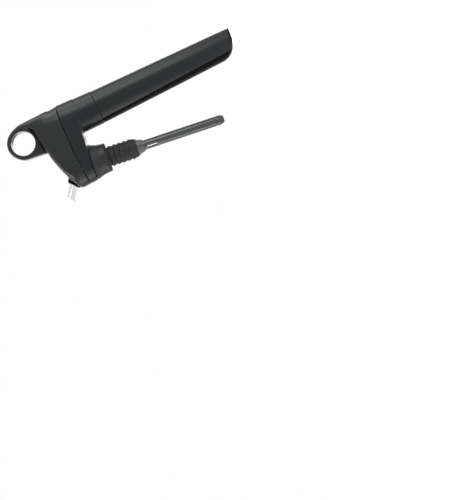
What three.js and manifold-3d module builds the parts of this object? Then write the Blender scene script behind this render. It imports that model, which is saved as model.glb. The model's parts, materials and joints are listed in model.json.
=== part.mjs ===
// A hand-held wine preservation dispenser, standing upright in the mouth of a bottle.
// A long handle holds a steel capsule of argon and screws onto the neck of the head.
// A regulator in the neck drops the pressure, and a thumb button on the spine opens a spool
// valve that sends gas down an inner tube into the bottle. The gas pushes wine in at the
// slots under the stopper, up the outer tube and out of the clear spout.
// Millimetres. +Z up along the bottle's axis, +X towards the handle, -X towards the spout,
// origin in the middle of the bottle's lip, where the stopper seats.
import * as THREE from "three";
import { mergeVertices } from "three/addons/utils/BufferGeometryUtils.js";
import Module from "manifold-3d";

const wasm = await Module();
wasm.setup();

// Clearances
const GAP = 0.3; // between neighbours that are fixed to each other
const HALF_GAP = GAP / 2;
const RUN = 0.2; // radial, where a small piece runs or slips in another
const OVERRUN = 2; // how far a cutting body runs past what it cuts
const SLIVER = 0.02; // facets thinner than this are merged away

const SPRING_EASE_SHARE = 0.25; // how much finer the end turns are
const SPRING_STEPS = 8; // facets round each curl
const WIRE_SIDES = 5;

// Facets round each kind of turned piece
const FINE = 32;
const MEDIUM = 20;
const COARSE = 12;

// The slanted axes, as turns about Y
const HANDLE_LEAN = THREE.MathUtils.degToRad(7.7); // handle away from the bottle's axis
const SPOUT_RISE = THREE.MathUtils.degToRad(29.7); // spout above level
const OUTLET_CUT = THREE.MathUtils.degToRad(22.9); // slant of the spout's mouth
const COLLAR_CUT = THREE.MathUtils.degToRad(13); // slant of the face of the collar at its root

// Where those axes start
const HANDLE_ORIGIN = new THREE.Vector3(47.1, 0, -5.2); // middle of the handle's joint
const SPOUT_ORIGIN = new THREE.Vector3(0, 0, 29.65); // spout axis meets the bottle's axis

// Head: side outline
const HEAD_FLOOR = 15;
const HEAD_WALL = 2.3;
const NOSE_X = -16.6; // front of the body, over the stopper
const NOSE_PART_X = -18.2; // and at the parting line
const NOSE_TIP_X = -19.4; // front of the cover, where it flares out
const NOSE_HALF = 16.7; // half width round the bottle's axis
const NECK_SPINE_X = 60.7; // back of the neck at the floor's height
const SPINE_KNEE = new THREE.Vector2(59.4, 31); // where the cover's back leaves the neck's
const SPINE_HALF = 15.4; // half width at the back of the neck
const PART_LINE_FRONT = 22.9; // height of the parting line at the nose
const PART_LINE_BACK = 30.9; // and at the spine
const PART_LINE_RISE = 1.8; // how far it bows up between them
const RAMP_TIP = new THREE.Vector2(-16.8, 36.1); // the scoop round the spout
const RAMP_FOOT = new THREE.Vector2(-6.8, 39.9);
const BROW = new THREE.Vector2(-4.6, 41.4); // the front end of the sloping top
const BROW_PULL = new THREE.Vector2(23.3, 53); // bends the top into its long arc
const EDGE_ROUND = 5; // rounding where the top turns into the sides
const FAR = 40; // well outside the head, for outlines that other cuts bound

// Finger loop
const LOOP_CENTRE = new THREE.Vector2(35.6, 69.8);
const LOOP_R = 15.05;
const LOOP_HOLE_R = 11.2;
const LOOP_HALF = 7.5; // half its thickness
const LOOP_ROUND = 2.6;
const LOOP_ARM_X = 20.7; // edge of its arm on the spout's side
const LOOP_LIP = 1; // flare at both ends of the hole
const RECESS_TANGENT = THREE.MathUtils.degToRad(-102); // where the top runs into the recess
const RECESS_LAP = 0.3; // how far the head's wide part laps over the loop's rim
const SPINE_PROUD = 0.8; // the spine passes the loop this far outside
const SPINE_LAP = 0.1; // and lies this far over the loop's arm
const SPINE_BLEND = THREE.MathUtils.degToRad(30); // turn over which the arm bends onto the loop
const toLoop = LOOP_CENTRE.clone().sub(SPINE_KNEE);
const SPINE_LEAN = Math.atan2(-toLoop.x, toLoop.y) - Math.asin((LOOP_R + SPINE_PROUD) / toLoop.length());

// Handle
const HANDLE_LENGTH = 137.6; // at its heel
const END_SLANT = 1.5; // how much longer it is at its toe
const HANDLE_TOP = { back: 15.1, front: 15.95, side: 15.3 }; // its section at the joint
const HANDLE_END = { back: 12.3, front: 13.6, side: 12.9 }; // and at its end
const NECK_FOOT = { back: 15.5, front: 16.1, side: 15.3 }; // the neck's at the joint
const NECK_TOP = { back: 17, front: 16.1, side: 15.3 }; // the neck's, inside the head
const NECK_HEIGHT = 41;
const HANDLE_SQUARENESS = 2.25; // exponent of its section: 2 is round
const HEEL_R = 15; // inner corner of the handle's end
const TOE_R = 1; // outer corner
const CREASE_NECK_X = -14.3; // the line along the inner side, at the head's floor
const CREASE_X = -13.6; // at the joint
const CREASE_TURN_X = -8.9; // and where it turns round the heel
const CREASE_TURN_SHARE = 0.93; // share of the handle's length where that turn starts
const STRIP_CAP = 1.2; // how thin the strip wraps the end
const STRIP_STEP = 0.5; // how far it lies under the shell's sides

// Argon capsule
const CAPSULE_R = 10.85;
const CAPSULE_LENGTH = 90;
const CAPSULE_TOP = -2.3; // tip of its neck, under the handle's joint
const CAPSULE_NECK_R = 4.4;
const CAPSULE_NECK_LENGTH = 6.5;
const CAPSULE_SHOULDER = 8.5;
const CAPSULE_BASE = 9; // height of its domed base
const CAPSULE_WALL = 1.2;
const PIERCED_R = 1.3;

// Capsule cup, the metal liner of the handle
const CUP_WALL = 1.15;
const CUP_BORE_R = CAPSULE_R + 0.4;
const CUP_THREAD_R = 12.5;
const CUP_THREAD_LENGTH = 13;
const CUP_FLOOR = 1.5;
const CUP_PAD = 2.4;

// Regulator, up the neck on the handle's axis. Heights are over the handle's joint.
const SPIGOT_R = 12.2;
const SPIGOT_LENGTH = 12;
const SPIGOT_MOUTH_R = 8.2;
const SPIGOT_SEAT_R = 4.8;
const SPIGOT_SEAT_DEPTH = 8;
const LIP_TOP = 2; // the neck's inner lip, which the flange rests on
const LIP_R = SPIGOT_R + GAP;
const NECK_BORE_R = 13.2;
const NECK_BORE_TOP = 29;
const FLANGE_R = 12.9;
const FLANGE_TOP = 5;
const REGULATOR_R = 11;
const REGULATOR_TOP = 24;
const CHAMBER_R = 7.2;
const CHAMBER_FLOOR = 9;
const PIN_SEAT = -1.5;
const PIN_POCKET_R = 2.6;
const PIN_POCKET_TOP = 4;
const NEEDLE_R = 0.75;
const NEEDLE_TIP = -4.6;
const PIN_BORE_R = 0.35;
const CAP_TOP = 27;
const CAP_BOSS = 2;
const NIPPLE_R = 1.8;
const NIPPLE_TOP = 31;
const GAS_BORE_R = 0.9;

// Regulator piston and spring
const PISTON_HEIGHT = 3.4;
const PISTON_STROKE = 1.2;
const PISTON_R = CHAMBER_R - GAP;
const PISTON_STEM_R = 1.3;
const RING_SECTION = 0.6; // radius of an O-ring's section
const PISTON_SPRING_R = 4.6;
const PISTON_WIRE_R = 0.45;
const PISTON_TURNS = 4.5;

// Thumb button and spool valve, inwards from the spine
const BUTTON_HEIGHT_Z = 46; // height of its middle on the spine
const BUTTON_WIDTH = 11;
const BUTTON_LENGTH = 20;
const BUTTON_DEPTH = 2.9;
const BUTTON_TRAVEL = 2.5;
const BUTTON_CORNER_DISH = 0.7; // thumb dish
const BUTTON_BOSS_R = 2.6;
const BUTTON_BOSS = 2.3;
const POCKET_DEPTH = BUTTON_DEPTH + BUTTON_TRAVEL + HALF_GAP;
const POCKET_WALL = 2;
const STEM_R = 1.5;
const VALVE_START = 8;
const VALVE_LENGTH = 19;
const VALVE_R = 6;
const VALVE_BORE_R = 3.1;
const VALVE_FRONT_WALL = 4;
const VALVE_BACK_WALL = 1.6;
const SPOOL_R = VALVE_BORE_R - GAP;
const SPOOL_LENGTH = 7;
const STEM_RING_SECTION = 0.5;
const VALVE_SPRING_R = 2.2;
const VALVE_WIRE_R = 0.25;
const VALVE_TURNS = 4;
const INLET_AT = 14;
const OUTLET_AT = 22;
const PORT_R = 1;

// Gas hoses
const HOSE_R = 1.7;
const HOSE_BORE_R = 1;

// Tubes down into the bottle
const TUBE_R = 4.5;
const TUBE_BORE_R = 3.3;
const TUBE_END = -104;
const TUBE_TOP = 25.7;
const WINE_SLOT_TOP = -37;
const WINE_SLOT_LENGTH = 10;
const WINE_SLOT_WIDTH = 3;
const GAS_TUBE_R = 1.5;
const GAS_TUBE_BORE_R = 0.9;
const TIP_LENGTH = 8;
const TIP_SPIGOT = 6;
const TIP_VALVE_R = 2.1;
const TIP_VALVE_HEIGHT = 3.2;

// Manifold on the bottle's axis
const MANIFOLD_R = 7.2;
const MANIFOLD_FOOT = HEAD_FLOOR + HEAD_WALL + HALF_GAP;
const MANIFOLD_TOP = 34;
const WINE_CHAMBER_R = 3.3;
const WINE_CHAMBER_TOP = 30;
const GAS_PORT_Z = 32;
const GAS_PORT_R = 2.4;
const GAS_PORT_END = 10.5;
const BRANCH_R = 6.3;
const BRANCH_END = 13.2; // along the spout's axis
const NOZZLE_START = 8.4;

// Spout
const NOZZLE_R = 5;
const NOZZLE_TIP_R = 4.3;
const NOZZLE_BORE_R = 3.7;
const NOZZLE_END = 30.1; // middle of its slanted mouth
const NOZZLE_RING_AT = 10.8;
const NOZZLE_RING_SECTION = 0.4;
const NOZZLE_GROOVE = 0.75;
const COLLAR_START = 13.5;
const COLLAR_BASE_R = 7.6;
const COLLAR_TIP_R = 5.85;
const COLLAR_END = 17.1; // middle of its slanted face
const COLLAR_SHOULDER = 15.6;

// Stopper
const STOPPER_TOP = HEAD_FLOOR - GAP;
const STOPPER_TOP_R = 16.6;
const STOPPER_LIP_R = 13.5;
const STOPPER_WEB = 2.5;
const STOPPER_CAVITY_R = 10.2;
const GASKET_HEIGHT = 1.1;
const GASKET_R = 13.3;
const GASKET_BORE_R = 9;
const CORE_R = 6.9;
const CORE_BORE_R = TUBE_R + 0.5;
const CORE_FLANGE = 2.3;
const CORE_END = -27;
const SEAL_R = 5.9;
const SEAL_HEIGHT = 2;
const UPPER_SEAL_Z = 7;
const LOWER_SEAL_Z = -21;
const PLUG_R = 8.7;
const PLUG_RIB_R = 9.7;
const PLUG_RIBS = 5;
const PLUG_END = -28;
const SLIT_FLANGE_R = 7.6;
const SLIT_FLANGE = 1.2;
const SLIT_LENGTH = 5;
const SLIT_WALL = 0.8;
const SLIT_WIDTH = 0.8;

// Screws that hold the cover, up through the floor between stopper and neck
const SCREW_X = 22.5;
const SCREW_Y = 9;
const SCREW_HEAD_R = 2.3;
const SCREW_HEAD = 1.7;
const SCREW_SHAFT_R = 0.95;
const SCREW_TOP = 30;
const SCREW_SINK = 0.6; // head under the floor's face
const BOSS_R = 4.1;
const BOSS_TOP = 20;
const POST_R = 2.7;

// Materials
const plastic = (color, roughness = 0.6) => new THREE.MeshStandardMaterial({ color, roughness, metalness: 0 });
const metal = (color, roughness = 0.35) => new THREE.MeshStandardMaterial({ color, roughness, metalness: 1 });
const softBlack = plastic(0x2b2e30, 0.62);
const stripBlack = plastic(0x0b0c0d, 0.35);
const rubberBlack = plastic(0x17191a, 0.8);
const stopperGrey = plastic(0x262b2c, 0.55);
const sealGrey = plastic(0x55585a, 0.7);
const whitePlastic = plastic(0xd8d9d6, 0.45);
const tubeGrey = plastic(0x3a3d3f, 0.4);
const steel = metal(0xb9bcc0, 0.25);
const aluminium = metal(0xc3c5c8, 0.4);
const brass = metal(0xc9a24b, 0.35);
const clear = new THREE.MeshStandardMaterial({
  color: 0xf2f5f6,
  roughness: 0.08,
  metalness: 0,
  transparent: true,
  opacity: 0.35,
});

// Solids: a closed geometry becomes a solid for joining and cutting, and back again.
function solidOf(geometry, matrix = new THREE.Matrix4()) {
  const bare = new THREE.BufferGeometry();
  const flat = geometry.index ? geometry.toNonIndexed() : geometry;
  bare.setAttribute("position", flat.getAttribute("position").clone());
  bare.applyMatrix4(matrix);
  const merged = mergeVertices(bare, 1e-4);
  const corners = [];
  const index = merged.index.array;
  for (let i = 0; i < index.length; i += 3) {
    const [a, b, c] = [index[i], index[i + 1], index[i + 2]];
    if (a !== b && b !== c && c !== a) corners.push(a, b, c);
  }
  const build = (triangles) =>
    new wasm.Manifold(
      new wasm.Mesh({
        numProp: 3,
        vertProperties: new Float32Array(merged.attributes.position.array),
        triVerts: new Uint32Array(triangles),
      }),
    );
  const solid = build(corners);
  return solid.volume() >= 0 ? solid : build(corners.reverse());
}

function geometryOf(solid) {
  const mesh = solid.getMesh();
  const stride = mesh.numProp;
  const points = new Float32Array(mesh.numVert * 3);
  for (let i = 0; i < mesh.numVert; i++) {
    points.set(mesh.vertProperties.subarray(i * stride, i * stride + 3), i * 3);
  }
  const geometry = new THREE.BufferGeometry();
  geometry.setAttribute("position", new THREE.BufferAttribute(points, 3));
  geometry.setIndex(new THREE.BufferAttribute(new Uint32Array(mesh.triVerts), 1));
  geometry.computeVertexNormals();
  return geometry;
}

const join = (first, ...rest) => rest.reduce((sum, s) => sum.add(s), first);
const cut = (first, ...rest) => rest.reduce((left, s) => left.subtract(s), first);

// A frame whose Z is the named slanted axis, turned about Y at its origin.
const frameAt = (origin, turn) => new THREE.Matrix4().makeRotationY(turn).setPosition(origin);
const handleFrame = frameAt(HANDLE_ORIGIN, -HANDLE_LEAN);
const spoutFrame = frameAt(SPOUT_ORIGIN, SPOUT_RISE - Math.PI / 2);
const spineX = (z) => SPINE_KNEE.x - (z - SPINE_KNEE.y) * Math.tan(SPINE_LEAN);
const BUTTON_ORIGIN = new THREE.Vector3(spineX(BUTTON_HEIGHT_Z), 0, BUTTON_HEIGHT_Z);
const buttonFrame = frameAt(BUTTON_ORIGIN, -Math.PI / 2 - SPINE_LEAN); // Z goes inwards

// A turned piece: profile of [radius, height] pairs about Z, closed on the axis or on itself.
function turned(profile, facets = MEDIUM) {
  const points = profile.map(([r, z]) => new THREE.Vector2(r, z));
  const onAxis = points[0].x === 0 && points[points.length - 1].x === 0;
  if (!onAxis) points.push(points[0].clone());
  return new THREE.LatheGeometry(points, facets).rotateX(Math.PI / 2);
}

const turnedSolid = (profile, facets, matrix) => solidOf(turned(profile, facets), matrix);

// A plain round bar along Z from low to high.
const bar = (r, low, high, facets = MEDIUM, matrix) =>
  turnedSolid([[0, low], [r, low], [r, high], [0, high]], facets, matrix);

// A ring of rectangular section.
const ring = (inner, outer, low, high, facets = MEDIUM, matrix) =>
  turnedSolid([[inner, low], [outer, low], [outer, high], [inner, high]], facets, matrix);

// An O-ring: a torus about Z.
const oRing = (r, section, z) => solidOf(new THREE.TorusGeometry(r, section, 6, MEDIUM).translate(0, 0, z));

// A box given by its two corners.
function block(low, high, matrix) {
  const size = new THREE.Vector3().subVectors(high, low);
  const middle = new THREE.Vector3().addVectors(high, low).multiplyScalar(0.5);
  const geometry = new THREE.BoxGeometry(size.x, size.y, size.z);
  return solidOf(geometry.translate(middle.x, middle.y, middle.z), matrix);
}

// A side outline in X and Z, drawn out to half on both sides of Y, its edges rounded by round.
function slab(shape, half, round = 0, matrix) {
  const outline = shape.getPoints(14);
  const apart = outline.filter((p, i) => p.distanceTo(outline[(i + 1) % outline.length]) > HALF_GAP);
  const geometry = new THREE.ExtrudeGeometry(new THREE.Shape(apart), {
    depth: 2 * (half - round),
    bevelEnabled: round > 0,
    bevelThickness: round,
    bevelSize: round,
    bevelOffset: -round,
    bevelSegments: 3,
  });
  geometry.translate(0, 0, round - half).rotateX(Math.PI / 2);
  return solidOf(geometry, matrix);
}

// A skin through rings of points, each ring with the same count, closed by a fan at each end.
function loft(rings, matrix) {
  const count = rings[0].length;
  const corners = [];
  const triangle = (a, b, c) => corners.push(...a.toArray(), ...b.toArray(), ...c.toArray());
  const middleOf = (points) =>
    points.reduce((sum, p) => sum.add(p), new THREE.Vector3()).divideScalar(points.length);
  for (let i = 0; i + 1 < rings.length; i++) {
    for (let j = 0; j < count; j++) {
      const k = (j + 1) % count;
      triangle(rings[i][j], rings[i][k], rings[i + 1][k]);
      triangle(rings[i][j], rings[i + 1][k], rings[i + 1][j]);
    }
  }
  const foot = middleOf(rings[0]);
  const top = middleOf(rings[rings.length - 1]);
  for (let j = 0; j < count; j++) {
    const k = (j + 1) % count;
    triangle(foot, rings[0][k], rings[0][j]);
    triangle(top, rings[rings.length - 1][j], rings[rings.length - 1][k]);
  }
  const geometry = new THREE.BufferGeometry();
  geometry.setAttribute("position", new THREE.Float32BufferAttribute(corners, 3));
  return solidOf(geometry, matrix);
}

// A tube along a curve, square at both ends.
function hose(points, outer, inner) {
  const path = new THREE.CatmullRomCurve3(points, false, "centripetal");
  const section = new THREE.Shape().absarc(0, 0, outer, 0, 2 * Math.PI);
  section.holes.push(new THREE.Path().absarc(0, 0, inner, 0, 2 * Math.PI, true));
  return solidOf(new THREE.ExtrudeGeometry(section, { steps: 9, curveSegments: 5, extrudePath: path }));
}

// A compression spring: one round wire wound about Z from low to high, its pitch finer at the
// ends. The least gap between its turns is measured and printed.
function spring(r, wire, turns, low, high) {
  const steps = Math.round(turns * SPRING_STEPS);
  const wound = [];
  const heightAt = (share) => {
    const eased = share - (SPRING_EASE_SHARE * Math.sin(2 * Math.PI * share)) / (2 * Math.PI);
    return low + wire + (high - low - 2 * wire) * eased;
  };
  let least = high - low;
  for (let i = 0; i <= steps; i++) {
    const share = i / steps;
    const angle = 2 * Math.PI * turns * share;
    const z = heightAt(share);
    if (share + 1 / turns <= 1) least = Math.min(least, heightAt(share + 1 / turns) - z);
    const section = [];
    for (let j = 0; j < WIRE_SIDES; j++) {
      const round = (2 * Math.PI * j) / WIRE_SIDES;
      const out = r + wire * Math.cos(round);
      section.push(new THREE.Vector3(out * Math.cos(angle), out * Math.sin(angle), z + wire * Math.sin(round)));
    }
    wound.push(section);
  }
  const tilt = Math.atan(least / (2 * Math.PI * r));
  console.log(`spring of radius ${r}: least gap to itself ${(least * Math.cos(tilt) - 2 * wire).toFixed(2)} mm`);
  return loft(wound);
}

// Head envelope
// Height of the parting line between body and cover at x.
function partLine(x) {
  const span = SPINE_KNEE.x - NOSE_X;
  const share = (x - NOSE_X) / span;
  const chord = PART_LINE_FRONT + (PART_LINE_BACK - PART_LINE_FRONT) * share;
  return chord + PART_LINE_RISE * (1 - (2 * share - 1) ** 2);
}

// Everything above the parting line, lifted by shift.
function abovePartLine(shift) {
  const shape = new THREE.Shape();
  const from = NOSE_X - FAR;
  const to = SPINE_KNEE.x + FAR;
  const steps = 14;
  shape.moveTo(from, partLine(NOSE_X) + shift);
  for (let i = 0; i <= steps; i++) {
    const x = NOSE_X + ((SPINE_KNEE.x - NOSE_X) * i) / steps;
    shape.lineTo(x, partLine(x) + shift);
  }
  shape.lineTo(to, partLine(SPINE_KNEE.x) + shift);
  shape.lineTo(to, FAR * 3);
  shape.lineTo(from, FAR * 3);
  return slab(shape, FAR);
}

// Plan section of the head: two round ends, joined by their common tangents.
function planSection(z, front, frontHalf, back, backHalf, inset) {
  const frontR = frontHalf - inset;
  const backR = backHalf - inset;
  const frontX = front + frontHalf;
  const backX = back - backHalf;
  const tangent = Math.acos((frontR - backR) / (backX - frontX));
  const points = [];
  const steps = 9;
  for (let i = 0; i <= steps; i++) {
    const angle = -tangent + (2 * tangent * i) / steps;
    points.push(new THREE.Vector3(backX + backR * Math.cos(angle), backR * Math.sin(angle), z));
  }
  for (let i = 0; i <= steps; i++) {
    const angle = tangent + ((2 * Math.PI - 2 * tangent) * i) / steps;
    points.push(new THREE.Vector3(frontX + frontR * Math.cos(angle), frontR * Math.sin(angle), z));
  }
  return points;
}

// Plan sections from the floor up: height, front, half width there, back, half width there.
// The front flares to the nose's tip and rounds over, and the back narrows to the loop.
const noseRound = PART_LINE_RISE + 1.4;
const loopLow = LOOP_CENTRE.y - LOOP_R / 3;
const loopTop = LOOP_CENTRE.y + LOOP_R / 10;
const PLAN = [
  [HEAD_FLOOR, NOSE_X, NOSE_HALF, NECK_SPINE_X, SPINE_HALF],
  [PART_LINE_FRONT, NOSE_PART_X, NOSE_HALF, (NECK_SPINE_X + SPINE_KNEE.x) / 2, SPINE_HALF],
  [SPINE_KNEE.y, NOSE_TIP_X, NOSE_HALF, SPINE_KNEE.x, SPINE_HALF],
  [RAMP_TIP.y - noseRound, NOSE_TIP_X, NOSE_HALF, spineX(RAMP_TIP.y - noseRound), SPINE_HALF],
  [RAMP_TIP.y - noseRound / 3, NOSE_TIP_X + noseRound / 4, NOSE_HALF, spineX(RAMP_TIP.y), SPINE_HALF],
  [RAMP_TIP.y + noseRound / 4, NOSE_TIP_X + noseRound, NOSE_HALF, spineX(RAMP_FOOT.y), SPINE_HALF],
  [BUTTON_HEIGHT_Z, NOSE_TIP_X + noseRound, NOSE_HALF, spineX(BUTTON_HEIGHT_Z), SPINE_HALF * 0.93],
  [LOOP_CENTRE.y - LOOP_R, NOSE_TIP_X + noseRound, NOSE_HALF, spineX(LOOP_CENTRE.y - LOOP_R), SPINE_HALF * 0.76],
  [loopLow, NOSE_TIP_X + noseRound, NOSE_HALF, spineX(loopLow), LOOP_HALF * 1.22],
  [loopTop, NOSE_TIP_X + noseRound, NOSE_HALF, spineX(loopTop), LOOP_HALF],
];

// Side outline of the wide part of the head, down by inset. Its floor and ends lie far out,
// where the plan sections bound it. It hugs the finger loop's recess at the back.
function sideOutline(inset) {
  const recess = LOOP_R - RECESS_LAP + inset;
  const point = (angle) =>
    new THREE.Vector2(LOOP_CENTRE.x + recess * Math.cos(angle), LOOP_CENTRE.y + recess * Math.sin(angle));
  const shape = new THREE.Shape();
  const rampSlope = (RAMP_FOOT.y - RAMP_TIP.y) / (RAMP_FOOT.x - RAMP_TIP.x);
  shape.moveTo(-FAR, 0);
  shape.lineTo(-FAR, RAMP_TIP.y - inset - rampSlope * (FAR + RAMP_TIP.x));
  shape.lineTo(RAMP_FOOT.x, RAMP_FOOT.y - inset);
  shape.lineTo(BROW.x + inset / 2, BROW.y - inset);
  const meet = point(RECESS_TANGENT);
  shape.quadraticCurveTo(BROW_PULL.x, BROW_PULL.y - inset, meet.x, meet.y);
  shape.absarc(LOOP_CENTRE.x, LOOP_CENTRE.y, recess, RECESS_TANGENT, SPINE_LEAN, false);
  const last = point(SPINE_LEAN);
  shape.lineTo(last.x - FAR * Math.sin(SPINE_LEAN), last.y + FAR * Math.cos(SPINE_LEAN));
  shape.lineTo(NECK_SPINE_X + FAR, last.y + FAR * Math.cos(SPINE_LEAN));
  shape.lineTo(NECK_SPINE_X + FAR, 0);
  return shape;
}

// The head's outer form, or its hollow when inset by the wall.
function headForm(inset, floor) {
  const sections = PLAN.map((row, i) => planSection(i ? row[0] : floor, ...row.slice(1), inset));
  return loft(sections).intersect(slab(sideOutline(inset), NOSE_HALF + 1 - inset, EDGE_ROUND));
}

// Section of the neck and handle across their axis: a squared round.
function gripSection(z, { back, front, side }, inset = 0) {
  const points = [];
  const steps = 30;
  const squared = (v) => Math.sign(v) * Math.abs(v) ** (2 / HANDLE_SQUARENESS);
  for (let i = 0; i < steps; i++) {
    const angle = (2 * Math.PI * i) / steps;
    const x = squared(Math.cos(angle)) * (Math.cos(angle) > 0 ? back : front);
    points.push(new THREE.Vector3(x, squared(Math.sin(angle)) * (side - inset), z));
  }
  return points;
}

// Side view of all that lies on the bottle's side of the neck's crease
function neckCreaseOutline() {
  const rise = (HEAD_FLOOR - HANDLE_ORIGIN.z) / Math.cos(HANDLE_LEAN);
  const slope = (CREASE_NECK_X - CREASE_X) / rise;
  const shape = new THREE.Shape();
  shape.moveTo(-FAR, -OVERRUN);
  shape.lineTo(CREASE_X - slope * OVERRUN, -OVERRUN);
  shape.lineTo(CREASE_X + slope * (NECK_HEIGHT + OVERRUN), NECK_HEIGHT + OVERRUN);
  shape.lineTo(-FAR, NECK_HEIGHT + OVERRUN);
  return shape;
}

// The neck, stepped in along the crease
const neckLoft = (inset) => loft([gripSection(HALF_GAP, NECK_FOOT, inset), gripSection(NECK_HEIGHT, NECK_TOP, inset)]);
const neckForm = join(neckLoft(STRIP_STEP), cut(neckLoft(0), slab(neckCreaseOutline(), FAR))).transform(
  handleFrame.elements,
);
const headOuter = headForm(0, HEAD_FLOOR);
const headHollow = headForm(HEAD_WALL, HEAD_FLOOR + HEAD_WALL);

// The group that is exported, and one group for each slanted axis
const dispenser = new THREE.Group();
dispenser.name = "wine_dispenser";
function axisGroup(matrix) {
  const group = new THREE.Group();
  matrix.decompose(group.position, group.quaternion, group.scale);
  dispenser.add(group);
  return group;
}
const handleGroup = axisGroup(handleFrame);
const spoutGroup = axisGroup(spoutFrame);
const buttonGroup = axisGroup(buttonFrame);

function piece(name, solid, material, group = dispenser) {
  const mesh = new THREE.Mesh(geometryOf(solid.asOriginal().simplify(SLIVER)), material);
  mesh.name = name;
  group.add(mesh);
  return mesh;
}

// Head body: floor over the stopper, and the neck that the handle screws up to
function screwPlaces() {
  return [-SCREW_Y, SCREW_Y].map((y) => new THREE.Matrix4().makeTranslation(SCREW_X, y, 0));
}

function headBody() {
  const bosses = screwPlaces().map((at) => bar(BOSS_R, HEAD_FLOOR + HALF_GAP, BOSS_TOP, COARSE, at));
  const holes = screwPlaces().flatMap((at) => [
    bar(SCREW_SHAFT_R + RUN, HEAD_FLOOR - OVERRUN, BOSS_TOP + OVERRUN, COARSE, at),
    bar(SCREW_HEAD_R + GAP, HEAD_FLOOR - OVERRUN, HEAD_FLOOR + SCREW_SINK + SCREW_HEAD + HALF_GAP, COARSE, at),
  ]);
  const outer = cut(join(headOuter, neckForm), abovePartLine(-HALF_GAP));
  const hollow = join(headHollow, bar(NECK_BORE_R, LIP_TOP, NECK_BORE_TOP, FINE, handleFrame));
  return cut(
    join(cut(outer, hollow), ...bosses),
    ...holes,
    bar(LIP_R, -OVERRUN, LIP_TOP + OVERRUN, FINE, handleFrame),
    bar(TUBE_R + GAP, HEAD_FLOOR - OVERRUN, MANIFOLD_FOOT + OVERRUN, MEDIUM),
  );
}
piece("head_body", headBody(), softBlack);

// Head cover, in one moulding with the finger loop
function loopForm() {
  const shape = new THREE.Shape();
  const foot = BROW.y + HEAD_WALL;
  const proud = LOOP_R + SPINE_PROUD - SPINE_LAP;
  const bendFrom = SPINE_LEAN + SPINE_BLEND;
  const pull = Math.hypot(proud, (LOOP_R - proud * Math.cos(SPINE_BLEND)) / Math.sin(SPINE_BLEND));
  const pullAt = SPINE_LEAN + Math.acos(proud / pull);
  const around = (r, angle) => new THREE.Vector2(r * Math.cos(angle), r * Math.sin(angle)).add(LOOP_CENTRE);
  const bendStart = around(proud, SPINE_LEAN);
  const bendPull = around(pull, pullAt);
  const bendEnd = around(LOOP_R, bendFrom);
  shape.moveTo(LOOP_ARM_X, foot);
  shape.lineTo(spineX(foot) - EDGE_ROUND / 2, foot);
  shape.lineTo(bendStart.x, bendStart.y);
  shape.quadraticCurveTo(bendPull.x, bendPull.y, bendEnd.x, bendEnd.y);
  shape.absarc(LOOP_CENTRE.x, LOOP_CENTRE.y, LOOP_R, bendFrom, Math.PI * 0.97, false);
  return slab(shape, LOOP_HALF, LOOP_ROUND);
}

// A bar along Y, flared at both faces.
function loopHole() {
  const profile = [
    [0, -LOOP_HALF - OVERRUN],
    [LOOP_HOLE_R + LOOP_LIP + OVERRUN, -LOOP_HALF - OVERRUN],
    [LOOP_HOLE_R, -LOOP_HALF + LOOP_LIP],
    [LOOP_HOLE_R, LOOP_HALF - LOOP_LIP],
    [LOOP_HOLE_R + LOOP_LIP + OVERRUN, LOOP_HALF + OVERRUN],
    [0, LOOP_HALF + OVERRUN],
  ];
  const lie = new THREE.Matrix4().makeRotationX(Math.PI / 2).setPosition(LOOP_CENTRE.x, 0, LOOP_CENTRE.y);
  return turnedSolid(profile, FINE, lie);
}

// The button's outline, a slot shape, as a bar inwards from outside the spine.
function buttonBar(grow, start, end) {
  const half = BUTTON_WIDTH / 2 + grow;
  const reach = (BUTTON_LENGTH - BUTTON_WIDTH) / 2;
  const shape = new THREE.Shape();
  shape.absarc(reach, 0, half, -Math.PI / 2, Math.PI / 2, false);
  shape.absarc(-reach, 0, half, Math.PI / 2, (3 * Math.PI) / 2, false);
  const geometry = new THREE.ExtrudeGeometry(shape, { depth: end - start, bevelEnabled: false, curveSegments: 8 });
  return solidOf(geometry.translate(0, 0, start), buttonFrame);
}

const collarProfile = (grow) => [
  [COLLAR_BASE_R + grow, COLLAR_START - grow],
  [COLLAR_TIP_R + grow, COLLAR_SHOULDER],
  [COLLAR_TIP_R + grow, COLLAR_END + NOZZLE_R],
];

function headCover() {
  const shell = cut(join(headOuter, loopForm()).intersect(abovePartLine(HALF_GAP)), headHollow);
  const buttonWall = buttonBar(HEAD_WALL, -HALF_GAP, POCKET_DEPTH + POCKET_WALL).intersect(headOuter);
  const posts = screwPlaces().map((at) =>
    bar(POST_R, BOSS_TOP + HALF_GAP, LOOP_CENTRE.y, COARSE, at).intersect(headOuter),
  );
  const pilots = screwPlaces().map((at) => bar(SCREW_SHAFT_R + RUN, HEAD_FLOOR, SCREW_TOP + 1, COARSE, at));
  const spoutWay = turnedSolid(
    [
      [0, NOZZLE_START - OVERRUN],
      [BRANCH_R + GAP, NOZZLE_START - OVERRUN],
      [BRANCH_R + GAP, COLLAR_START - GAP],
      ...collarProfile(GAP),
      [0, COLLAR_END + NOZZLE_R],
    ],
    MEDIUM,
    spoutFrame,
  );
  return cut(
    join(shell, buttonWall, ...posts),
    ...pilots,
    loopHole(),
    buttonBar(GAP, -OVERRUN * 2, POCKET_DEPTH),
    bar(BUTTON_BOSS_R + GAP, 0, POCKET_DEPTH + OVERRUN + POCKET_WALL, COARSE, buttonFrame),
    spoutWay,
  );
}
piece("head_cover", headCover(), softBlack);

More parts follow.
